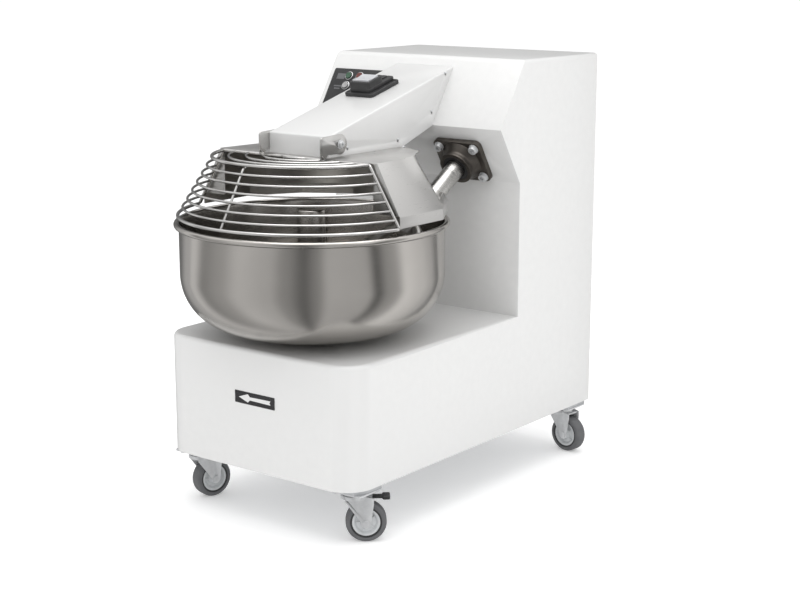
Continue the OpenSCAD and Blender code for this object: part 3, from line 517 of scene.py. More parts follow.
def finish(slot, light, dark, rough, metallic=0.0, clouds=6.0, relief=("clouds", 300.0, 0.1),
           edge_wear_and_highlight=(0.0, None), coat=0.0, anisotropic=0.0):
    """Mixes dark and light by the cloudy tone, and drives roughness and height by the relief."""
    material = bpy.data.materials.new(slot)
    material.use_nodes = True
    tree = material.node_tree
    shader = tree.nodes["Principled BSDF"]
    for label, value in (
        ("Metallic", metallic), ("Coat Weight", coat), ("Coat Roughness", 0.12),
        ("Anisotropic", anisotropic), ("Anisotropic Rotation", 0.25),
    ):
        shader.inputs[label].default_value = value
    kind, size, strength = relief
    group, size_input, output, coordinates = PATTERNS[kind]
    where = put(tree, "ShaderNodeTexCoord")
    tone = put(tree, "ShaderNodeGroup", {"Scale": clouds}, node_tree=cloud_group)
    base = put(tree, "ShaderNodeMix", {"A": (*dark, 1), "B": (*light, 1)}, data_type="RGBA")
    detail = put(tree, "ShaderNodeGroup", {size_input: size}, node_tree=group)
    spread = put(tree, "ShaderNodeMapRange", {"To Min": rough[0], "To Max": rough[1]})
    bump = put(tree, "ShaderNodeBump", {"Strength": strength, "Distance": 0.2 * MM})
    # The edge mask lightens convex edges: a painted highlight on the white and grey paint, rubbed wear on the
    # other finishes.
    edge = put(tree, "ShaderNodeGroup", {"Amount": edge_wear_and_highlight[0]}, node_tree=wear_and_highlight_group)
    worn_and_highlit = put(tree, "ShaderNodeMix", {"B": (*(edge_wear_and_highlight[1] or light), 1)}, data_type="RGBA")
    wire_up(
        tree,
        (where.outputs["Object"], tone.inputs["Vector"]),
        (where.outputs["Object"], edge.inputs["Vector"]),
        (where.outputs[coordinates], detail.inputs["Vector"]),
        (tone.outputs["Tone"], base.inputs["Factor"]),
        (base.outputs["Result"], worn_and_highlit.inputs["A"]),
        (edge.outputs["Mask"], worn_and_highlit.inputs["Factor"]),
        (worn_and_highlit.outputs["Result"], shader.inputs["Base Color"]),
        (detail.outputs[output], spread.inputs["Value"]),
        (spread.outputs["Result"], shader.inputs["Roughness"]),
        (detail.outputs[output], bump.inputs["Height"]),
        (bump.outputs["Normal"], shader.inputs["Normal"]),
    )
    if anisotropic:
        tangent = put(tree, "ShaderNodeTangent", direction_type="UV_MAP", uv_map="turned")
        wire_up(tree, (tangent.outputs["Tangent"], shader.inputs["Tangent"]))
    finishes[slot] = material


# %% [markdown]
# The cabinet's enamel is a thick glossy white with the faint waviness of a sprayed coat, and
# its convex edges carry a painted highlight in a lighter white.
# The cover and the arm share the cabinet's sheet steel, but the cover is bare stainless
# steel with a fine brushed grain.

# %% Paint, plastic and rubber
# This lighter white is a painted highlight along the convex edges of the white paint.
PAINTED_EDGE_HIGHLIGHT = (0.83, 0.83, 0.82)
finish("white_paint", (0.735, 0.735, 0.73), (0.728, 0.728, 0.723), (0.28, 0.31), clouds=3.0,
       relief=("clouds", 14.0, 0.001), edge_wear_and_highlight=(0.5, PAINTED_EDGE_HIGHLIGHT), coat=0.25)
finish("arm_steel", (0.47, 0.48, 0.49), (0.40, 0.41, 0.42), (0.45, 0.6), clouds=9.0,
       relief=("clouds", 500.0, 0.1))
# The grey panel's convex edges carry the same painted highlight.
finish("panel_grey", (0.69, 0.69, 0.685), (0.68, 0.68, 0.675), (0.30, 0.36), clouds=4.0,
       relief=("clouds", 14.0, 0.001), edge_wear_and_highlight=(0.5, PAINTED_EDGE_HIGHLIGHT), coat=0.15)
finish("black_plastic", (0.030, 0.030, 0.031), (0.019, 0.019, 0.020), (0.34, 0.5), clouds=30.0,
       relief=("clouds", 1500.0, 0.25), edge_wear_and_highlight=(0.6, (0.10, 0.10, 0.10)))
finish("label_black", (0.022, 0.022, 0.024), (0.014, 0.014, 0.015), (0.2, 0.3), clouds=40.0,
       relief=("clouds", 900.0, 0.06), coat=0.3)
finish("button_green", (0.035, 0.10, 0.055), (0.025, 0.07, 0.04), (0.22, 0.3), clouds=60.0,
       relief=("clouds", 1200.0, 0.05), coat=0.4)
finish("button_red", (0.16, 0.035, 0.03), (0.11, 0.025, 0.02), (0.22, 0.3), clouds=60.0,
       relief=("clouds", 1200.0, 0.05), coat=0.4)
finish("rocker_grey", (0.56, 0.57, 0.59), (0.49, 0.50, 0.52), (0.3, 0.42), clouds=40.0,
       relief=("clouds", 1400.0, 0.15), edge_wear_and_highlight=(0.5, (0.78, 0.78, 0.80)))
finish("seal_rubber", (0.035, 0.035, 0.036), (0.022, 0.022, 0.022), (0.55, 0.75), clouds=30.0,
       relief=("clouds", 900.0, 0.3))
finish("tyre_rubber", (0.135, 0.137, 0.142), (0.105, 0.107, 0.112), (0.5, 0.68), clouds=40.0,
       relief=("clouds", 1100.0, 0.3), edge_wear_and_highlight=(0.5, (0.22, 0.22, 0.23)))
finish("wheel_plastic", (0.60, 0.615, 0.625), (0.52, 0.535, 0.545), (0.32, 0.46), clouds=50.0,
       relief=("clouds", 1300.0, 0.18), edge_wear_and_highlight=(0.5, (0.76, 0.77, 0.78)))
finish("motor_paint", (0.12, 0.20, 0.36), (0.09, 0.16, 0.30), (0.35, 0.5), clouds=12.0,
       relief=("clouds", 500.0, 0.15))
print(len(finishes), "finishes")

# %% [markdown]
# Bare metal shows how it was worked. Turned parts carry rings round their axis, so their
# grain follows the map that the lathe wrote: u goes round and v goes along the profile.
# The bowl is spun and then brushed the same way, which pulls its highlights into tall
# streaks. Anisotropy along the same map gives those streaks, turned by a quarter so that
# they run across the scratches.

# %% Bare metals
finish("bowl_steel", (0.66, 0.635, 0.60), (0.585, 0.56, 0.53), (0.17, 0.23), metallic=1.0,
       clouds=5.0, relief=("turned", 900.0, 0.035), anisotropic=0.8)
finish("shaft_steel", (0.66, 0.65, 0.63), (0.58, 0.57, 0.55), (0.20, 0.34), metallic=1.0,
       clouds=14.0, relief=("turned", 700.0, 0.03), anisotropic=0.5)
finish("fork_steel", (0.66, 0.65, 0.63), (0.55, 0.54, 0.52), (0.28, 0.42), metallic=1.0,
       clouds=20.0, relief=("clouds", 500.0, 0.2))
finish("bearing_steel", (0.60, 0.60, 0.60), (0.52, 0.52, 0.52), (0.2, 0.35), metallic=1.0,
       clouds=30.0, relief=("clouds", 700.0, 0.1))
finish("cover_steel", (0.74, 0.73, 0.715), (0.68, 0.67, 0.655), (0.26, 0.40), metallic=1.0,
       clouds=4.0, relief=("brushed", (25.0, 25.0, 900.0), 0.08))
finish("guard_wire", (0.80, 0.79, 0.775), (0.72, 0.71, 0.695), (0.14, 0.26), metallic=1.0,
       clouds=25.0, relief=("clouds", 600.0, 0.06))
finish("zinc", (0.80, 0.81, 0.82), (0.68, 0.69, 0.70), (0.28, 0.44), metallic=0.6, clouds=70.0,
       relief=("clouds", 500.0, 0.12), edge_wear_and_highlight=(0.5, (0.85, 0.85, 0.86)))
finish("button_metal", (0.60, 0.60, 0.60), (0.50, 0.50, 0.50), (0.2, 0.32), metallic=1.0,
       clouds=60.0, relief=("turned", 1500.0, 0.1))
finish("cast_iron", (0.15, 0.135, 0.12), (0.085, 0.077, 0.068), (0.28, 0.46), metallic=0.85,
       clouds=45.0, relief=("clouds", 420.0, 0.5), edge_wear_and_highlight=(0.8, (0.40, 0.37, 0.33)))
finish("bronze", (0.62, 0.42, 0.17), (0.50, 0.32, 0.12), (0.28, 0.42), metallic=1.0, clouds=30.0,
       relief=("clouds", 500.0, 0.15))
print(len(finishes), "finishes")

# %% Give every node the finish of its slot
slots = {part["node"]: part["material_slot"] for part in frame["record"]["subparts"]}
for name, node in nodes.items():
    node.data.materials.clear()
    node.data.materials.append(finishes[slots[name]])
print("nodes without a finish:", [n for n in nodes if slots[n] not in finishes])

# %% [markdown]
# ## The cabinet
#
# The skin is folded and welded sheet, ground smooth before painting. Its shape is already
# right, so it could only get a better paint, but then every fold would be knife-sharp.
# Instead a merged copy has its edges rounded: a wide, soft round where the top folds over
# towards the controls and along the deck, and a small one on every other fold.

# %% Cabinet skin
skin_low, skin_high = box("body_shell")
deck_z = box("bowl_foot")[0][2]


def on_soft_fold(middle):
    """True on the outer edges of the top and on the deck's outer edge."""
    top = middle.z > skin_high[2] - MM and middle.y < skin_high[1] - 5 * MM
    deck = abs(middle.z - deck_z + 3 * MM) < 4 * MM and middle.y < bowl_centre[1] + 0.3
    outer = abs(middle.x) > skin_high[0] - 62 * MM or middle.y < skin_low[1] + 62 * MM
    return (top and (outer or middle.y < 0.2)) or (deck and outer)


softened("cabinet_skin", "body_shell", "cabinet", "white_paint", 2.2 * MM, steps=3,
         also=[(on_soft_fold, 9 * MM)])

# %% [markdown]
# The back is a loose panel with rows of louvres, held by eight screws. The slots are in
# the frame's panel already. A pressed louvre also has a lip that throws water off, and each
# lip is a quarter of a stretched ball: half-round along the slot and half-round across it.

# %% Rear panel and its louvres
softened("rear_sheet", "rear_panel", "cabinet", "panel_grey", 0.4 * MM, steps=2)
panel_back = box("rear_panel")[1][1]
SLOT_W, SLOT_H, SLOT_STEP, SLOT_ROWS = 140 * MM, 5 * MM, 13 * MM, 9


def louvre(centre_z):
    """At (a, b) x is W/2 cos a, and the lip stands out by sin a sin b from the slot's top edge."""
    a = np.linspace(0, np.pi, 25)[:, None]
    b = np.linspace(0, np.pi / 2, 6)[None, :]
    reach = np.sin(a) ** 0.4
    x = SLOT_W / 2 * np.cos(a) + 0 * b
    y = panel_back - 0.2 * MM + 2.4 * MM * reach * np.sin(b)
    z = centre_z + SLOT_H / 2 + 2 * MM - (SLOT_H + 2 * MM) * reach * (1 - np.cos(b))
    outer = np.stack([x, y, z], -1)
    inner = outer - np.array([0, 0.5 * MM, 0.5 * MM])
    return grid(np.concatenate([outer, inner[:, ::-1]], 1), wrap_cols=True)


rows = [skin_low[2] + 150 * MM, skin_high[2] - 200 * MM]
lips = [louvre(z + SLOT_STEP * i + SLOT_H / 2) for z in rows for i in range(SLOT_ROWS)]
piece("louvre_lips", lips, "cabinet", "panel_grey")

# %% [markdown]
# ## The arm and the cover
#
# The arm is a folded box that slopes down to a square nose. The cover behind it is folded
# from bare steel in flat facets. Both keep their shape and get narrow round folds.

# %% Arm and cover
arm_low, arm_high = box("arm_shell")
ARM_NOSE = 41 * MM
arm_slope = (arm_high[2] - arm_low[2] - ARM_NOSE) / (arm_high[1] - arm_low[1])
arm_along = unit([0, 1, arm_slope])
arm_up = np.cross(RIGHT, arm_along)


def on_arm_top(middle):
    """True on the folds along the arm's sloping top and over its nose."""
    level = arm_low[2] + ARM_NOSE + (middle.y - arm_low[1]) * arm_slope
    return abs(middle.z - level) < 0.6 * MM and middle.y < arm_high[1] - 3 * MM


softened("arm_skin", "arm_shell", "cabinet", "white_paint", 0.8 * MM, steps=2,
         also=[(on_arm_top, 3.5 * MM)])
softened("arm_box", "arm_beam", "cabinet", "arm_steel", 1.0 * MM, steps=2)
softened("cover_sheet", "bowl_cover", "cabinet", "cover_steel", 0.8 * MM, steps=2)

# %% [markdown]
# Screws repeat all over the machine. One maker draws a head with a domed top and a hex
# recess, from a lathe profile and a short six-sided well, and the places come from the
# small separate islands of the frame's own screws.

# %% Find the islands of a node


def islands(name):
    """Lowest and highest corners of each separate solid in a node, by flood fill over its edges."""
    work = bmesh.new()
    work.from_mesh(nodes[name].data)
    bmesh.ops.remove_doubles(work, verts=work.verts, dist=2e-6)
    seen, found = set(), []
    for start in work.verts:
        if start in seen:
            continue
        stack, members = [start], []
        seen.add(start)
        while stack:
            vert = stack.pop()
            members.append(vert.co[:])
            for edge in vert.link_edges:
                other = edge.other_vert(vert)
                if other not in seen:
                    seen.add(other)
                    stack.append(other)
        found.append((np.min(members, 0), np.max(members, 0)))
    work.free()
    return found


def socket_head(radius, height, recess):
    """A head with a round edge from a lathe profile, and a hexagonal well in its top."""
    edge = 0.18 * radius
    line = rounded_line(
        [(0, 0), (radius, 0), (radius, height), (recess * 1.25, height)], [0, 0, edge, 0], 4
    )
    angle = np.linspace(0, 2 * np.pi, 48, endpoint=False)
    hexagon = recess * np.cos(np.pi / 6) / np.cos((angle % (np.pi / 3)) - np.pi / 6)
    sizes = [np.full(48, recess * 1.25), hexagon, hexagon * 0.98, np.full(48, 0.0)]
    depths = [height, height, height * 0.45, height * 0.4]
    well = np.stack(
        [np.stack([r * np.cos(angle), r * np.sin(angle), 0 * angle + z], -1)
         for r, z in zip(sizes, depths)]
    )
    return together([lathe(line, 48), grid(well, wrap_cols=True)])


print("rear screws:", len(islands("rear_screws")))

# %% Screws of the arm, the cover and the rear panel
HEAD_R, HEAD_H, HEX_R = 5 * MM, 2.8 * MM, 2.4 * MM
arm_head = socket_head(HEAD_R, HEAD_H, HEX_R)
heads = []
for low, high in islands("cover_screws"):
    middle = (low + high) / 2
    if high[2] - low[2] > high[0] - low[0]:
        heads.append(carried(arm_head, (middle[0], middle[1], high[2] - HEAD_H)))
    else:
        side = np.sign(middle[0])
        outer = max(abs(low[0]), abs(high[0])) - HEAD_H
        heads.append(carried(arm_head, (side * outer, middle[1], middle[2]), RIGHT * side, BACK))
piece("arm_screws", heads, "cabinet", "zinc", ("cover_screws",))
BACK_HEAD_H = 2.5 * MM
back_head = socket_head(HEAD_R, BACK_HEAD_H, HEX_R)
heads = [
    carried(back_head, ((low[0] + high[0]) / 2, high[1] - BACK_HEAD_H, (low[2] + high[2]) / 2),
            BACK)
    for low, high in islands("rear_screws")
]
piece("back_screws", heads, "cabinet", "zinc", ("rear_screws",))

# %% [markdown]
# ## The wire guard
#
# Round bright wire, bent into hoops and spot-welded to two end frames and a middle rod.
# Each wire is a tube along an arc. Where the middle rod turns from the flat top down the
# slope it has a real bend, so its line has a rounded corner there.

# %% Guard wires
guard_low, guard_high = box("guard_frame")
WIRE, FRAME_WIRE = 2.5 * MM, 3.5 * MM
TOP_HOOPS = [0.062, 0.096, 0.130, 0.164]
HOOPS = 7
TOP_R, LOW_R = 0.197, bowl_radius - 9 * MM
CUT_Y = -53 * MM
ROD_DROP, END_X, BAR_X = 4.4 * MM, 80 * MM, 90 * MM
top_z, low_z = guard_high[2] - FRAME_WIRE, guard_low[2] + FRAME_WIRE


def slope_point(share):
    """Radius and height at a share of the way down the guard's slope."""
    return TOP_R + share * (LOW_R - TOP_R), top_z + share * (low_z - top_z)


def hoop(radius, z, wire):
    """At angle a from straight ahead: (R sin a, -R cos a), cut off at the guard's rear edge."""
    half = np.arccos(-CUT_Y / radius)
    angle = np.linspace(-half, half, 64)
    path = np.stack([radius * np.sin(angle), -radius * np.cos(angle), 0 * angle + z], -1)
    return tube(path, wire, UP)


wires = [hoop(r, top_z, WIRE) for r in TOP_HOOPS]
for k in range(HOOPS + 1):
    wires.append(hoop(*slope_point(k / HOOPS), FRAME_WIRE if k in (0, HOOPS) else WIRE))
(r_top, z_top), (r_foot, z_foot) = slope_point(0), slope_point(1)
rod = rounded_line(
    [(0, -TOP_HOOPS[0], top_z - ROD_DROP), (0, -TOP_R + 1.5 * MM, top_z - ROD_DROP),
     (0, -r_foot + 2.4 * MM, z_foot - 3.2 * MM)], 14 * MM, 8)
wires.append(tube(rod, WIRE, RIGHT))
for side in (-1, 1):
    x_top, x_foot = (side * np.sqrt(r**2 - CUT_Y**2) for r in (r_top, r_foot))
    frame_line = rounded_line(
        [(side * END_X, CUT_Y, z_top), (x_top, CUT_Y, z_top), (x_foot, CUT_Y, z_foot)], 9 * MM, 8)
    wires.append(tube(frame_line, FRAME_WIRE, BACK))
bar = np.linspace((-BAR_X, CUT_Y, top_z), (BAR_X, CUT_Y, top_z), 9)
wires.append(tube(bar, FRAME_WIRE, BACK))
at_bowl = np.array([bowl_centre[0], bowl_centre[1], 0])
piece("guard_wires", [carried(w, at_bowl) for w in wires], "guard", "guard_wire", ("guard_frame",),
      crease=60)

# %% [markdown]
# The guard hangs on two flat ears beside the arm. A bolt with a washer goes through each,
# and the guard swings up about them.

# %% Ears and pivots
softened("guard_ears", "guard_brackets", "guard", "guard_wire", 0.5 * MM, steps=2)
ear_parts = []
for low, high in islands("guard_pivots"):
    side = np.sign(low[0] + high[0])
    tip = max(abs(low[0]), abs(high[0]))
    spot = (side * (tip - 6 * MM), pivot_at[1], pivot_at[2])
    washer = lathe(rounded_line([(0, 0), (9 * MM, 0), (9 * MM, 1.5 * MM), (0, 1.5 * MM)],
                                [0, 0.5 * MM, 0.5 * MM, 0], 3), 48)
    ear_parts.append(carried(washer, spot, RIGHT * side, BACK))
    ear_parts.append(carried(socket_head(6.5 * MM, 4.5 * MM, 2.8 * MM),
                             np.array(spot) + RIGHT * side * 1.5 * MM, RIGHT * side, BACK))
    pin = tube(np.array([(side * (arm_high[0] - 10 * MM), pivot_at[1], pivot_at[2]),
                         (side * (tip - 5.5 * MM), pivot_at[1], pivot_at[2])]),
               4 * MM, UP, sides=24, round_ends=False)
    ear_parts.append(pin)
piece("ear_bolts", ear_parts, "cabinet", "zinc", ("guard_pivots",))

# %% [markdown]
# ## Controls
#
# A black plate on the tower's slanted face carries four push buttons. The plate has a
# small bevel, and each button sits in a metal ring. The face's direction is the opposite
# of the way in which a button is pressed.

# %% Control plate and buttons
_, press_way = joint_place("button_1_press")
face_out = -press_way
face_up = unit(np.cross(face_out, RIGHT))
plate_low, plate_high = box("control_panel")
plate_mid = (plate_low + plate_high) / 2
PLATE_W, PLATE_H, PLATE_T = plate_high[0] - plate_low[0], 92 * MM, 3 * MM
plate_shape = plate(plate_outline(PLATE_W, PLATE_H, 4 * MM), -PLATE_T / 2, PLATE_T / 2, 0.8 * MM)
piece("control_plate", [carried(plate_shape, plate_mid, face_out)], "cabinet", "black_plastic",
      ("control_panel",))
RING_PROFILE = rounded_line(
    [(8.4 * MM, 0), (10.4 * MM, 0), (10.4 * MM, 1.4 * MM), (8.4 * MM, 2.2 * MM)],
    [0.2 * MM, 0.2 * MM, 0.6 * MM, 0.4 * MM], 3, closed=True)
CAP_PROFILE = rounded_line(
    [(0, 0), (5.8 * MM, 0), (5.8 * MM, 2.6 * MM), (7.9 * MM, 2.6 * MM), (7.2 * MM, 5.0 * MM),
     (4.0 * MM, 4.6 * MM), (0, 4.4 * MM)],
    [0, 0, 0, 0.5 * MM, 0.7 * MM, 2 * MM, 0], 3)
rings = []
for number, slot_name in enumerate(
    ["button_green", "button_red", "button_metal", "button_metal"], start=1
):
    node = f"button_{number}"
    low, high = box(node)
    middle = (low + high) / 2
    on_plate = middle - face_out * ((middle - plate_mid) @ face_out)
    ring = lathe(RING_PROFILE, 40, loop=True)
    rings.append(carried(ring, on_plate + face_out * 1.4 * MM, face_out))
    button_cap = carried(lathe(CAP_PROFILE, 40), on_plate + face_out * 0.8 * MM, face_out)
    piece(f"push_cap_{number}", [button_cap], f"push_button_{number}", slot_name, (node,))
piece("button_rings", rings, "cabinet", "button_metal")

# %% [markdown]
# Beside the buttons are a small dark window and two lines of tiny raised marks, kept as
# plain bars so that they say nothing. They are thin plates laid on the big one.

# %% Marks on the control plate
marks = []
for x, y, w, h in [(-50, 26, 22, 14), (-50, 2, 22, 3), (-50, -4, 16, 3), (28, 26, 26, 2.4),
                   (28, 20, 18, 2.4), (28, 4, 26, 2.4), (28, -2, 20, 2.4)]:
    bar = plate(plate_outline(w * MM, h * MM, 0.8 * MM, 3), 0, 0.35 * MM, 0.12 * MM, 2)
    spot = plate_mid + RIGHT * x * MM + face_up * y * MM + face_out * (PLATE_T / 2 - 0.05 * MM)
    marks.append(carried(bar, spot, face_out))
piece("plate_marks", marks, "cabinet", "tyre_rubber")

# %% [markdown]
# The main switch is a moulded box on the arm's slope: a wide foot, a body and a raised
# block round a pale rocker. Each layer is a plate with round corners and a soft edge. The
# block needs a real well for the rocker, so its top is a ring that dips inside.

# %% Switch housing
rocker_at, _ = joint_place("rocker_tilt")
BLOCK_TOP, PIVOT_UP, PIVOT_BACK, LIP = 29 * MM, 29 * MM, -16 * MM, 2 * MM
switch_foot = rocker_at - arm_up * PIVOT_UP - arm_along * PIVOT_BACK


def well_block(width, height, corner, low, high, well_w, well_h, well_floor):
    """A plate whose top turns down at a smaller outline, into a flat-bottomed well."""
    outer = plate_outline(width, height, corner, 6)
    inner = plate_outline(well_w, well_h, LIP, 6)
    rings = [(outer, low), (outer, high - LIP)]
    for a in np.linspace(0, np.pi / 2, 5)[1:]:
        rings.append((drawn_in(outer, LIP * (1 - np.cos(a))), high - LIP + LIP * np.sin(a)))
    rings += [(inner, high), (inner, well_floor)]
    stack = [np.column_stack([outline, np.full(len(outline), z)]) for outline, z in rings]
    return together([grid(np.stack(stack), wrap_cols=True), cap(stack[-1]), cap(stack[0][::-1])])


def moved(shape, x, y, z=0.0):
    """The same shape shifted in its own axes."""
    points, faces, uv = shape
    return points + np.array([x, y, z]), faces, uv


switch_parts = [
    plate(plate_outline(75 * MM, 97 * MM, 8 * MM), 0, 8 * MM, 1.6 * MM),
    moved(plate(plate_outline(54 * MM, 86 * MM, 6 * MM), 6 * MM, 16 * MM, 2.0 * MM), 0, 2 * MM),
    moved(well_block(52 * MM, 48 * MM, 5 * MM, 14 * MM, BLOCK_TOP, 42 * MM, 36 * MM, 24 * MM),
          0, PIVOT_BACK),
    moved(plate(plate_outline(30 * MM, 20 * MM, 4 * MM), 15 * MM, 18.5 * MM, 1.2 * MM), 0, 29 * MM),
]
for x in (-1, 1):
    for y in (-1, 1):
        screw_shape = socket_head(3.2 * MM, 1.6 * MM, 1.5 * MM)
        switch_parts.append(moved(screw_shape, x * 31 * MM, y * 41 * MM, 7.6 * MM))
piece("switch_box", [carried(part, switch_foot, arm_up) for part in switch_parts], "cabinet",
      "black_plastic", ("switch_housing",))

# %% [markdown]
# The rocker is a shallow saddle: its top is a wide V with a soft bottom, so that a finger
# finds which end to press. The height is a rounded absolute value along the tilt.

# %% Rocker
ROCKER_W, ROCKER_L = 40.6 * MM, 34.6 * MM


def rocker_shape():
    """Height is H + k (sqrt(y^2 + s^2) - s). The edges fall off as a high power of x and y."""
    x = np.linspace(-1, 1, 33)[:, None] * ROCKER_W / 2
    y = np.linspace(-1, 1, 33)[None, :] * ROCKER_L / 2
    soft = 5 * MM
    saddle = 2.4 * MM + 0.13 * (np.sqrt(y**2 + soft**2) - soft) + 0 * x
    drop = 0.9 * MM * (np.abs(x / (ROCKER_W / 2)) ** 14 + np.abs(y / (ROCKER_L / 2)) ** 14)
    top = np.stack([x + 0 * y, y + 0 * x, saddle - np.minimum(drop, 1.2 * MM)], -1)
    rim = np.concatenate([top[:, 0], top[-1, 1:], top[-2::-1, -1], top[0, -2:0:-1]])
    wall = np.stack([rim, rim * [1, 1, 0] + [0, 0, -1 * MM]])
    return together([grid(top), grid(wall, wrap_cols=True), cap(wall[1])])


piece("rocker_cap", [carried(rocker_shape(), rocker_at, arm_up)], "rocker", "rocker_grey",
      ("switch_rocker",))

# %% [markdown]
# ## The fork and its bearing
#
# The bearing is a dark casting: a bolted square flange, a cone and a neck with a collar.
# The cone and the neck are one lathe profile, and its inner corner is filled with a small
# radius, as a casting always is.

# %% Bearing flange, bolts and seal
FLANGE_W, FLANGE_H, FLANGE_T = 117 * MM, 100 * MM, 12 * MM
NECK_R, NECK_BORE, NECK_L = 35 * MM, 29 * MM, 38 * MM
SHAFT_R = 20 * MM
flange_plate = plate(plate_outline(FLANGE_W, FLANGE_H, 12 * MM, 8), 0, FLANGE_T, 1.6 * MM)
neck_line = rounded_line(
    [(NECK_BORE, 2 * MM), (NECK_R + 12 * MM, 2 * MM), (NECK_R + 12 * MM, FLANGE_T + 1 * MM),
     (NECK_R, FLANGE_T + 14 * MM), (NECK_R, NECK_L - 8 * MM), (NECK_R + 2.5 * MM, NECK_L - 6 * MM),
     (NECK_R + 2.5 * MM, NECK_L), (NECK_BORE, NECK_L)],
    [0, 0, 4 * MM, 9 * MM, 1 * MM, 0.8 * MM, 1.2 * MM, 0.8 * MM], 5, closed=True)
casting = [carried(flange_plate, fork_at, fork_down),
           carried(lathe(neck_line, 72, loop=True), fork_at, fork_down)]
piece("flange_casting", casting, "cabinet", "cast_iron", ("bearing_flange",))
fork_side = np.cross(fork_down, RIGHT)
bolts = []
for x in (-44, 44):
    for y in (-36, 36):
        spot = fork_at + RIGHT * x * MM + fork_side * y * MM + fork_down * FLANGE_T
        ring_line = rounded_line([(0, 0), (11 * MM, 0), (11 * MM, 1.6 * MM), (0, 1.6 * MM)],
                                 [0, 0.3 * MM, 0.5 * MM, 0], 2)
        bolts.append(carried(lathe(ring_line, 40), spot, fork_down))
        bolts.append(carried(socket_head(9 * MM, 8 * MM, 4.3 * MM),
                             spot + fork_down * 1.6 * MM, fork_down))
piece("flange_screws", bolts, "cabinet", "zinc", ("flange_bolts",))
seal_line = rounded_line(
    [(SHAFT_R + 0.3 * MM, 33 * MM), (NECK_BORE, 33 * MM), (NECK_BORE, 37 * MM),
     (SHAFT_R + 4 * MM, 37 * MM), (SHAFT_R + 0.3 * MM, 35 * MM)],
    [0, 0, 0.5 * MM, 1 * MM, 0.3 * MM], 3, closed=True)
piece("seal_lip", [carried(lathe(seal_line, 56, loop=True), fork_at, fork_down)], "cabinet",
      "seal_rubber", ("shaft_seal",))

# %% [markdown]
# The shaft is turned and polished steel with a chamfered collar where the fork is fixed.
# The fork is a casting with two prongs that bow outwards and lean back in. Each prong is a
# tube along an arc in a plane through the axis, thicker in the middle than at its tip.

# %% Shaft and fork
HUB_AT, SHAFT_TOP = 212 * MM, -205 * MM
shaft_line = rounded_line(
    [(0, SHAFT_TOP), (SHAFT_R, SHAFT_TOP), (SHAFT_R, 60 * MM), (SHAFT_R - 0.5 * MM, 61 * MM),
     (SHAFT_R - 0.5 * MM, 64 * MM), (SHAFT_R, 65 * MM), (SHAFT_R, HUB_AT), (0, HUB_AT)],
    [0, 1.5 * MM, 0.3 * MM, 0.2 * MM, 0.2 * MM, 0.3 * MM, 1 * MM, 0], 3)
piece("mixing_shaft", [carried(lathe(shaft_line, 72), fork_at, fork_down)], "fork_drive",
      "shaft_steel", ("fork_shaft",))

PRONG_R, SWING, ROOT, MID, FORK_LEN = 12 * MM, 68 * MM, 14 * MM, 335 * MM, 432 * MM
half_chord = MID - (HUB_AT + 14 * MM)
bow = SWING - ROOT
arc_r = (half_chord**2 + bow**2) / (2 * bow)
first = -np.arcsin(half_chord / arc_r)
last = np.arcsin((FORK_LEN - MID) / arc_r)
sweep = np.linspace(first, last, 60)


def prong(side):
    """At angle t, x is side (swing - R + R cos t) and z is mid + R sin t. A sine swells it."""
    x = side * (SWING - arc_r + arc_r * np.cos(sweep))
    path = np.stack([x, 0 * sweep, MID + arc_r * np.sin(sweep)], -1)
    return tube(path, PRONG_R, BACK, sides=28, swell=lambda t: 0.86 + 0.14 * np.sin(np.pi * t))


hub_line = rounded_line(
    [(0, HUB_AT), (SHAFT_R + 1 * MM, HUB_AT), (SHAFT_R + 6 * MM, HUB_AT + 9 * MM),
     (PRONG_R * 1.25, HUB_AT + 44 * MM), (0, HUB_AT + 45 * MM)],
    [0, 1 * MM, 9 * MM, 6 * MM, 0], 6)
fork_parts = [lathe(hub_line, 56), prong(1), prong(-1)]
piece("fork_casting", [carried(part, fork_at, fork_down) for part in fork_parts], "fork_drive",
      "fork_steel", ("fork",), crease=50)

# %% [markdown]
# ## The bowl
#
# The bowl is spun from one disc over a former and then brushed. One lathe profile goes from
# the middle of the bottom up the outside, over the rolled rim and back down the inside, so
# the sheet has its real thickness everywhere.

# %% Bowl
BEAD, WALL_T, CORNER = 6 * MM, 3 * MM, 115 * MM
wall_r = bowl_radius - 10 * MM
floor_z = bowl_low[2]
bead_turn = np.radians(np.linspace(-115, 178, 22))
bead = np.stack([bowl_radius - BEAD + BEAD * np.cos(bead_turn),
                 rim_z - BEAD + BEAD * np.sin(bead_turn)], -1)
outside = rounded_line([(0, floor_z), (wall_r, floor_z), (wall_r, rim_z - 15 * MM)],
                       [0, CORNER, 0], 26)
inside = rounded_line([(wall_r - WALL_T, rim_z - 10 * MM), (wall_r - WALL_T, floor_z + WALL_T),
                       (0, floor_z + WALL_T)], [0, CORNER - WALL_T, 0], 26)
bowl_line = np.concatenate([outside, bead, inside])
at_axis = np.array([bowl_centre[0], bowl_centre[1], 0])
piece("bowl_shell", [carried(lathe(bowl_line, 160), at_axis)], "bowl", "bowl_steel", ("bowl",))

# %% [markdown]
# Under the bowl is a low turned disc, and in its middle stands a plain column that keeps
# the dough moving round. Both are lathe work too.

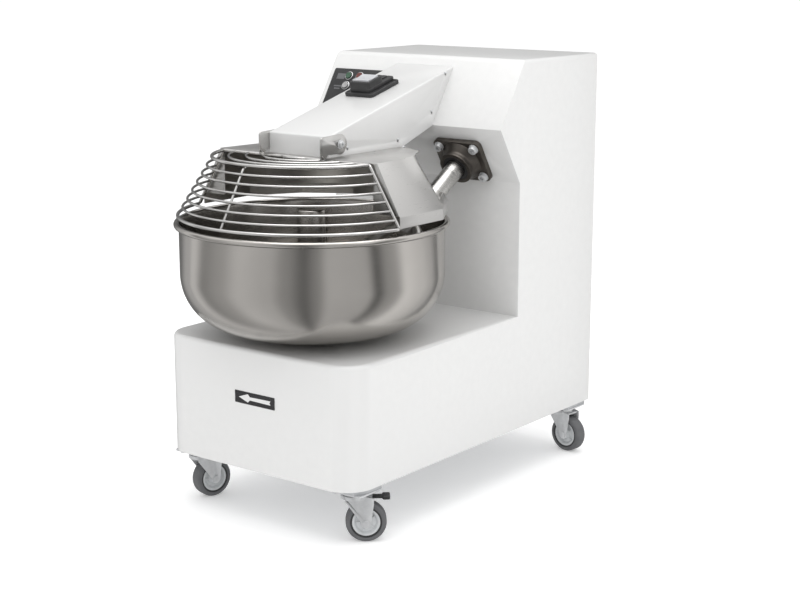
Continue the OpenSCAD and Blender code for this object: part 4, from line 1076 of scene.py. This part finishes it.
# %% Bowl foot and centre column
foot_low, foot_high = box("bowl_foot")
foot_r, under, top = foot_high[0], foot_low[2], foot_high[2]
SPINDLE_R = 25.1 * MM
foot_line = rounded_line(
    [(SPINDLE_R, under + 3 * MM), (foot_r - 3 * MM, under + 3 * MM), (foot_r, under + 7 * MM),
     (foot_r, top - 1 * MM), (foot_r - 2 * MM, top), (0, top), (0, top - 4 * MM),
     (SPINDLE_R, top - 4 * MM)],
    [0, 1 * MM, 1 * MM, 0.5 * MM, 0.5 * MM, 0, 0, 0], 4, closed=True)
piece("bowl_base", [carried(lathe(foot_line, 120, loop=True), at_axis)], "bowl", "bowl_steel",
      ("bowl_foot",))
post_low, post_high = box("centre_column")
post_r = post_high[0] - 6 * MM
under, top = post_low[2], post_high[2]
post_line = rounded_line(
    [(0, under), (post_r + 6 * MM, under), (post_r + 6 * MM, under + 4 * MM),
     (post_r, under + 7 * MM), (post_r, top), (0, top)],
    [0, 0, 1.5 * MM, 4 * MM, 4 * MM, 0], 6)
piece("bowl_post", [carried(lathe(post_line, 72), at_axis)], "bowl", "bowl_steel",
      ("centre_column",))

# %% [markdown]
# ## The label
#
# A black plate on the front shows which way the bowl turns. The arrow is a thin raised
# shape of its own, so that its white edge stays crisp.

# %% Arrow label
label_low, label_high = box("arrow_label")
label_mid = (label_low + label_high) / 2
label_w, label_h = label_high[0] - label_low[0], label_high[2] - label_low[2]
FRONT = -BACK
label_shape = plate(plate_outline(label_w, label_h, 1.5 * MM), 0, 0.65 * MM, 0.2 * MM, 2)
face_y = label_high[1]
piece("label_plate", [carried(label_shape, (label_mid[0], face_y, label_mid[2]), FRONT, RIGHT)],
      "cabinet", "label_black", ("arrow_label",))
HEAD, TAIL, BARB, STEM = 0.40, 0.40, 0.34, 0.13
arrow_line = np.array([
    (-HEAD * label_w, 0), (-0.17 * label_w, -BARB * label_h), (-0.12 * label_w, -STEM * label_h),
    (TAIL * label_w, -STEM * 1.3 * label_h), (TAIL * 0.93 * label_w, 0),
    (TAIL * label_w, STEM * 1.3 * label_h), (-0.12 * label_w, STEM * label_h),
    (-0.17 * label_w, BARB * label_h),
])
layers = [np.column_stack([arrow_line, np.full(len(arrow_line), z)]) for z in (0.5 * MM, 0.78 * MM)]
arrow = together([grid(np.stack(layers), wrap_cols=True), cap(layers[1]), cap(layers[0][::-1])])
piece("label_arrow", [carried(arrow, (label_mid[0], face_y, label_mid[2]), FRONT, RIGHT)],
      "cabinet", "white_paint")

# %% [markdown]
# ## Casters
#
# Each caster is a bolted plate with a ball race, a pressed fork that swivels under it, and
# a wheel with a moulded centre and a grey tyre. The wheel's axis and its swivel come from
# the joints. The fork's legs are flat sheet, so the frame's own shape with rounded edges
# is right for it, and the turning parts are new lathe work.

# %% Wheels and tyres
WHEEL_R, TYRE_IN, TYRE_W = 40 * MM, 28 * MM, 28 * MM
half_t = TYRE_W / 2
tyre_line = rounded_line(
    [(TYRE_IN, -half_t + 1 * MM), (TYRE_IN + 1.5 * MM, -half_t + 0.3 * MM),
     (TYRE_IN + 4 * MM, -half_t), (WHEEL_R, -half_t), (WHEEL_R, half_t),
     (TYRE_IN + 4 * MM, half_t), (TYRE_IN + 1.5 * MM, half_t - 0.3 * MM),
     (TYRE_IN, half_t - 1 * MM)],
    [0, 0.5 * MM, 1 * MM, 6 * MM, 6 * MM, 1 * MM, 0.5 * MM, 0], 6, closed=True)
band_line = rounded_line(
    [(TYRE_IN - 0.6 * MM, -half_t + 1 * MM), (TYRE_IN + 3.2 * MM, -half_t - 0.25 * MM),
     (TYRE_IN + 3.2 * MM, half_t + 0.25 * MM), (TYRE_IN - 0.6 * MM, half_t - 1 * MM)],
    [0, 0.5 * MM, 0.5 * MM, 0], 3, closed=True)
WHEEL_FACE = [(4.05, 15.5), (9.5, 15.5), (10.5, 12), (12, 8.6), (19.5, 8.2), (21.5, 10.5),
              (23, 12.6), (26, 13.3), (28, 12.4)]
one_side = np.array(WHEEL_FACE) * MM
both_sides = np.concatenate([one_side, (one_side * [1, -1])[::-1]])
radii = [0] + [0.8 * MM] * (len(one_side) - 2) + [0]
hub_profile = rounded_line(both_sides, radii * 2, 3, closed=True)
RIBS = 5


def wheel_rib(turn, face_way):
    """A thin upright fin on the dished web, from the hub to the rim, at angle turn."""
    outline = plate_outline(8.5 * MM, 1.6 * MM, 0.6 * MM, 2)
    points, faces, uv = plate(outline, 7.6 * MM, 10.2 * MM, 0.4 * MM, 2)
    points = points + [15.6 * MM, 0, 0]
    spin = np.array([[np.cos(turn), np.sin(turn), 0], [-np.sin(turn), np.cos(turn), 0], [0, 0, 1]])
    return (points @ spin) * [1, face_way, face_way], faces, uv


for n in range(1, 5):
    centre, axis = joint_place(f"wheel_{n}_roll")
    ribs = [wheel_rib(2 * np.pi * k / RIBS + 0.3, side) for k in range(RIBS) for side in (1, -1)]
    wheel_parts = [lathe(hub_profile, 72, loop=True)] + ribs
    piece(f"wheel_centre_{n}", [carried(part, centre, axis, UP) for part in wheel_parts],
          f"caster_wheel_{n}", "wheel_plastic", (f"wheel_{n}",))
    piece(f"tyre_ring_{n}", [carried(lathe(tyre_line, 96, loop=True), centre, axis, UP)],
          f"caster_wheel_{n}", "tyre_rubber", (f"tyre_{n}",))
    piece(f"tyre_band_{n}", [carried(lathe(band_line, 96, loop=True), centre, axis, UP)],
          f"caster_wheel_{n}", "black_plastic")

# %% Caster forks, plates and bolts
for n in range(1, 5):
    softened(f"fork_legs_{n}", f"caster_fork_{n}", f"caster_{n}", "zinc", 0.35 * MM, steps=2,
             angle=40)
softened("caster_tops", "caster_plates", "cabinet", "zinc", 0.5 * MM, steps=2, angle=40)
bolt_heads = []
for low, high in islands("caster_bolts"):
    middle = (low + high) / 2
    ring = np.linspace(0, 2 * np.pi, 6, endpoint=False)
    hexagon = np.stack([np.cos(ring), np.sin(ring)], -1) * 6.4 * MM
    head_shape = plate(hexagon, 0, 5 * MM, 0.5 * MM, 2)
    bolt_heads.append(carried(head_shape, (middle[0], middle[1], low[2])))
    shank = plate(plate_outline(7.8 * MM, 7.8 * MM, 3.8 * MM, 6), 4.5 * MM, high[2] - low[2],
                  0.6 * MM, 2)
    bolt_heads.append(carried(shank, (middle[0], middle[1], low[2])))
piece("caster_screws", bolt_heads, "cabinet", "zinc", ("caster_bolts",))

# %% [markdown]
# The front casters have a foot pedal that locks the wheel and the swivel together. It is a
# steel-cored moulding: a neck and a ribbed pad with soft corners that tips up at its end.

# %% Brake pedals
NECK_FROM, NECK_TO = 34.5 * MM, 57 * MM
for n in (1, 2):
    swivel_at, _ = joint_place(f"swivel_{n}")
    centre, _ = joint_place(f"wheel_{n}_roll")
    trail = unit((centre - swivel_at) * [1, 1, 0])
    low, high = box(f"brake_pedal_{n}")
    pad_z = (low[2] + high[2]) / 2
    neck_shape = moved(plate(plate_outline(NECK_TO - NECK_FROM, 17.6 * MM, 2 * MM, 4), -2 * MM,
                             1.8 * MM, 0.8 * MM), (NECK_FROM + NECK_TO) / 2, 0)
    pad_shape = moved(plate(plate_outline(15.6 * MM, 25.6 * MM, 4 * MM, 5), -3.8 * MM, 3.8 * MM,
                            1.8 * MM), 61 * MM, 0)
    ridges = [moved(plate(plate_outline(1.4 * MM, 18 * MM, 0.6 * MM, 3), 3.2 * MM, 4.1 * MM,
                          0.4 * MM, 2), (56.5 + 3 * k) * MM, 0) for k in range(4)]
    spot = (swivel_at[0], swivel_at[1], pad_z)
    parts = [carried(part, spot, UP, trail) for part in [neck_shape, pad_shape] + ridges]
    piece(f"pedal_pad_{n}", parts, f"caster_{n}", "black_plastic", (f"brake_pedal_{n}",))

# %% [markdown]
# ## Inside the cabinet
#
# The drive can be seen through the louvres and when the back is off. Its castings, motor
# and chassis keep the frame's shape, with rounded edges where a casting or a fold has them.

# %% Soften the castings and the chassis
for name, node, slot_name, radius in [
    ("fork_gear_case", "fork_gearbox", "cast_iron", 2.0),
    ("bowl_gear_case", "bowl_gearbox", "cast_iron", 2.0),
    ("spindle_housing", "bearing_housing", "cast_iron", 1.5),
    ("motor_body", "motor", "motor_paint", 0.6),
    ("base_plate", "chassis_plate", "arm_steel", 0.6),
    ("inlet_gland", "cable_gland", "black_plastic", 0.5),
]:
    softened(name, node, "cabinet", slot_name, radius * MM, steps=2, angle=40)

# %% [markdown]
# ## The stage
#
# A pale floor that runs into a pale world, a large soft light above, one at each side, and
# the camera. Polished steel shows nothing of itself: it needs something dark as well as
# something bright to mirror. The world therefore looks different to a mirrored ray, and
# the floor lets such rays through.

# %% Floor
FAR = 60
floor_mesh = bpy.data.meshes.new("floor")
floor_corners = [(-FAR, -FAR, 0), (FAR, -FAR, 0), (FAR, FAR, 0), (-FAR, FAR, 0)]
floor_mesh.from_pydata(floor_corners, [], [(0, 1, 2, 3)])
floor = bpy.data.objects.new("floor", floor_mesh)
bpy.context.scene.collection.objects.link(floor)
floor_paint = bpy.data.materials.new("floor_paint")
floor_paint.use_nodes = True
floor_tree = floor_paint.node_tree
floor_shader = floor_tree.nodes["Principled BSDF"]
for label, value in (
    ("Base Color", (0.97, 0.97, 0.97, 1)), ("Emission Color", (1.0, 1.0, 1.0, 1)),
    ("Emission Strength", 0.24), ("Roughness", 0.7), ("Specular IOR Level", 0.2),
):
    floor_shader.inputs[label].default_value = value
ray = put(floor_tree, "ShaderNodeLightPath")
unseen = put(floor_tree, "ShaderNodeBsdfTransparent")
either = put(floor_tree, "ShaderNodeMixShader")
wire_up(
    floor_tree,
    (ray.outputs["Is Glossy Ray"], either.inputs["Fac"]),
    (floor_shader.outputs["BSDF"], either.inputs[1]),
    (unseen.outputs["BSDF"], either.inputs[2]),
    (either.outputs["Shader"], floor_tree.nodes["Material Output"].inputs["Surface"]),
)
floor_mesh.materials.append(floor_paint)
print("floor", floor.dimensions[:2])

# %% [markdown]
# A mirrored ray meets upright screens, some dark and some bright, each at a compass angle
# counted from the camera. They fade into a bright ceiling, and a ray that is mirrored
# twice sees them darker, which deepens the inside of the bowl.

# %% World and lights
world = bpy.data.worlds.new("studio")
bpy.context.scene.world = world
world.use_nodes = True
sky = world.node_tree
backdrop = sky.nodes["Background"]
direction = put(sky, "ShaderNodeTexCoord")
parts = put(sky, "ShaderNodeSeparateXYZ")
compass = put(sky, "ShaderNodeMath", operation="ARCTAN2")
turn = put(sky, "ShaderNodeMapRange", {"From Min": -np.pi, "From Max": np.pi})
screens = put(sky, "ShaderNodeValToRGB")
screens.color_ramp.interpolation = "EASE"
TOWARD_CAMERA = -49.0
SCREENS = [(-160, 0.16), (-139, 0.50), (-124, 0.70), (-110, 0.30), (-88, 0.42), (-68, 0.62),
           (-40, 0.52), (-24, 0.32), (-8, 0.15), (3, 0.28), (14, 0.52), (48, 0.48), (57, 0.10),
           (68, 0.36), (77, 0.42), (88, 0.86), (108, 0.72), (122, 0.56), (137, 0.20)]
stops = sorted((((TOWARD_CAMERA + angle) / 360 + 0.5) % 1, value) for angle, value in SCREENS)
ramp = screens.color_ramp.elements
while len(ramp) < len(stops):
    ramp.new(0.5)
for stop, (at, value) in zip(ramp, stops):
    stop.position, stop.color = at, (value, value, value, 1)
high = put(sky, "ShaderNodeMapRange", {"From Min": 0.25, "From Max": 0.85},
           interpolation_type="SMOOTHSTEP")
mirrored = put(sky, "ShaderNodeMix", {"B": (0.95, 0.95, 0.95, 1)}, data_type="RGBA")
seen = put(sky, "ShaderNodeMix", {"A": (0.86, 0.86, 0.86, 1)}, data_type="RGBA")
path = put(sky, "ShaderNodeLightPath")
inner = put(sky, "ShaderNodeMapRange",
            {"From Min": 1.0, "From Max": 2.0, "To Min": 1.0, "To Max": 0.18}, clamp=True)
deepened = put(sky, "ShaderNodeVectorMath", operation="SCALE")
wire_up(
    sky,
    (direction.outputs["Generated"], parts.inputs["Vector"]),
    (parts.outputs["Y"], compass.inputs[0]),
    (parts.outputs["X"], compass.inputs[1]),
    (compass.outputs["Value"], turn.inputs["Value"]),
    (turn.outputs["Result"], screens.inputs["Fac"]),
    (parts.outputs["Z"], high.inputs["Value"]),
    (high.outputs["Result"], mirrored.inputs["Factor"]),
    (screens.outputs["Color"], mirrored.inputs["A"]),
    (path.outputs["Is Glossy Ray"], seen.inputs["Factor"]),
    (path.outputs["Glossy Depth"], inner.inputs["Value"]),
    (mirrored.outputs["Result"], deepened.inputs["Vector"]),
    (inner.outputs["Result"], deepened.inputs["Scale"]),
    (deepened.outputs["Vector"], seen.inputs["B"]),
    (seen.outputs["Result"], backdrop.inputs["Color"]),
)
backdrop.inputs["Strength"].default_value = 1.0
bpy.context.scene.view_settings.view_transform = "Standard"


def soft_light(name, spot, target, width, height, power):
    """A rectangular area light at spot that faces target."""
    data = bpy.data.lights.new(name, "AREA")
    data.shape = "RECTANGLE"
    data.size, data.size_y, data.energy = width, height, power
    light = bpy.data.objects.new(name, data)
    bpy.context.scene.collection.objects.link(light)
    light.location = spot
    light.rotation_euler = (Vector(target) - Vector(spot)).to_track_quat("-Z", "Y").to_euler()
    return light


MIDDLE = (0, -0.05, 0.45)
soft_light("overhead", (0.3, -0.3, 3.2), MIDDLE, 3.0, 3.0, 44)
soft_light("left_key", (-2.6, -2.2, 1.9), MIDDLE, 1.4, 2.2, 2)
soft_light("right_fill", (3.2, -0.4, 1.6), MIDDLE, 1.6, 2.4, 4)

# %% [markdown]
# The camera stands in front and to the right, a little above the arm, and looks slightly
# down. A long lens keeps the cabinet's uprights nearly parallel.

# %% Camera
camera_data = bpy.data.cameras.new("camera")
camera_data.lens = 72.2
camera_data.clip_end = 200
camera = bpy.data.objects.new("camera", camera_data)
bpy.context.scene.collection.objects.link(camera)
camera.location = (2.0805, -2.5991, 1.1268)
AZIMUTH, ELEVATION = np.radians(37.755), np.radians(12.42)
camera.rotation_euler = (np.pi / 2 - ELEVATION, 0, AZIMUTH)
bpy.context.scene.camera = camera
print("camera", tuple(round(c, 2) for c in camera.location))
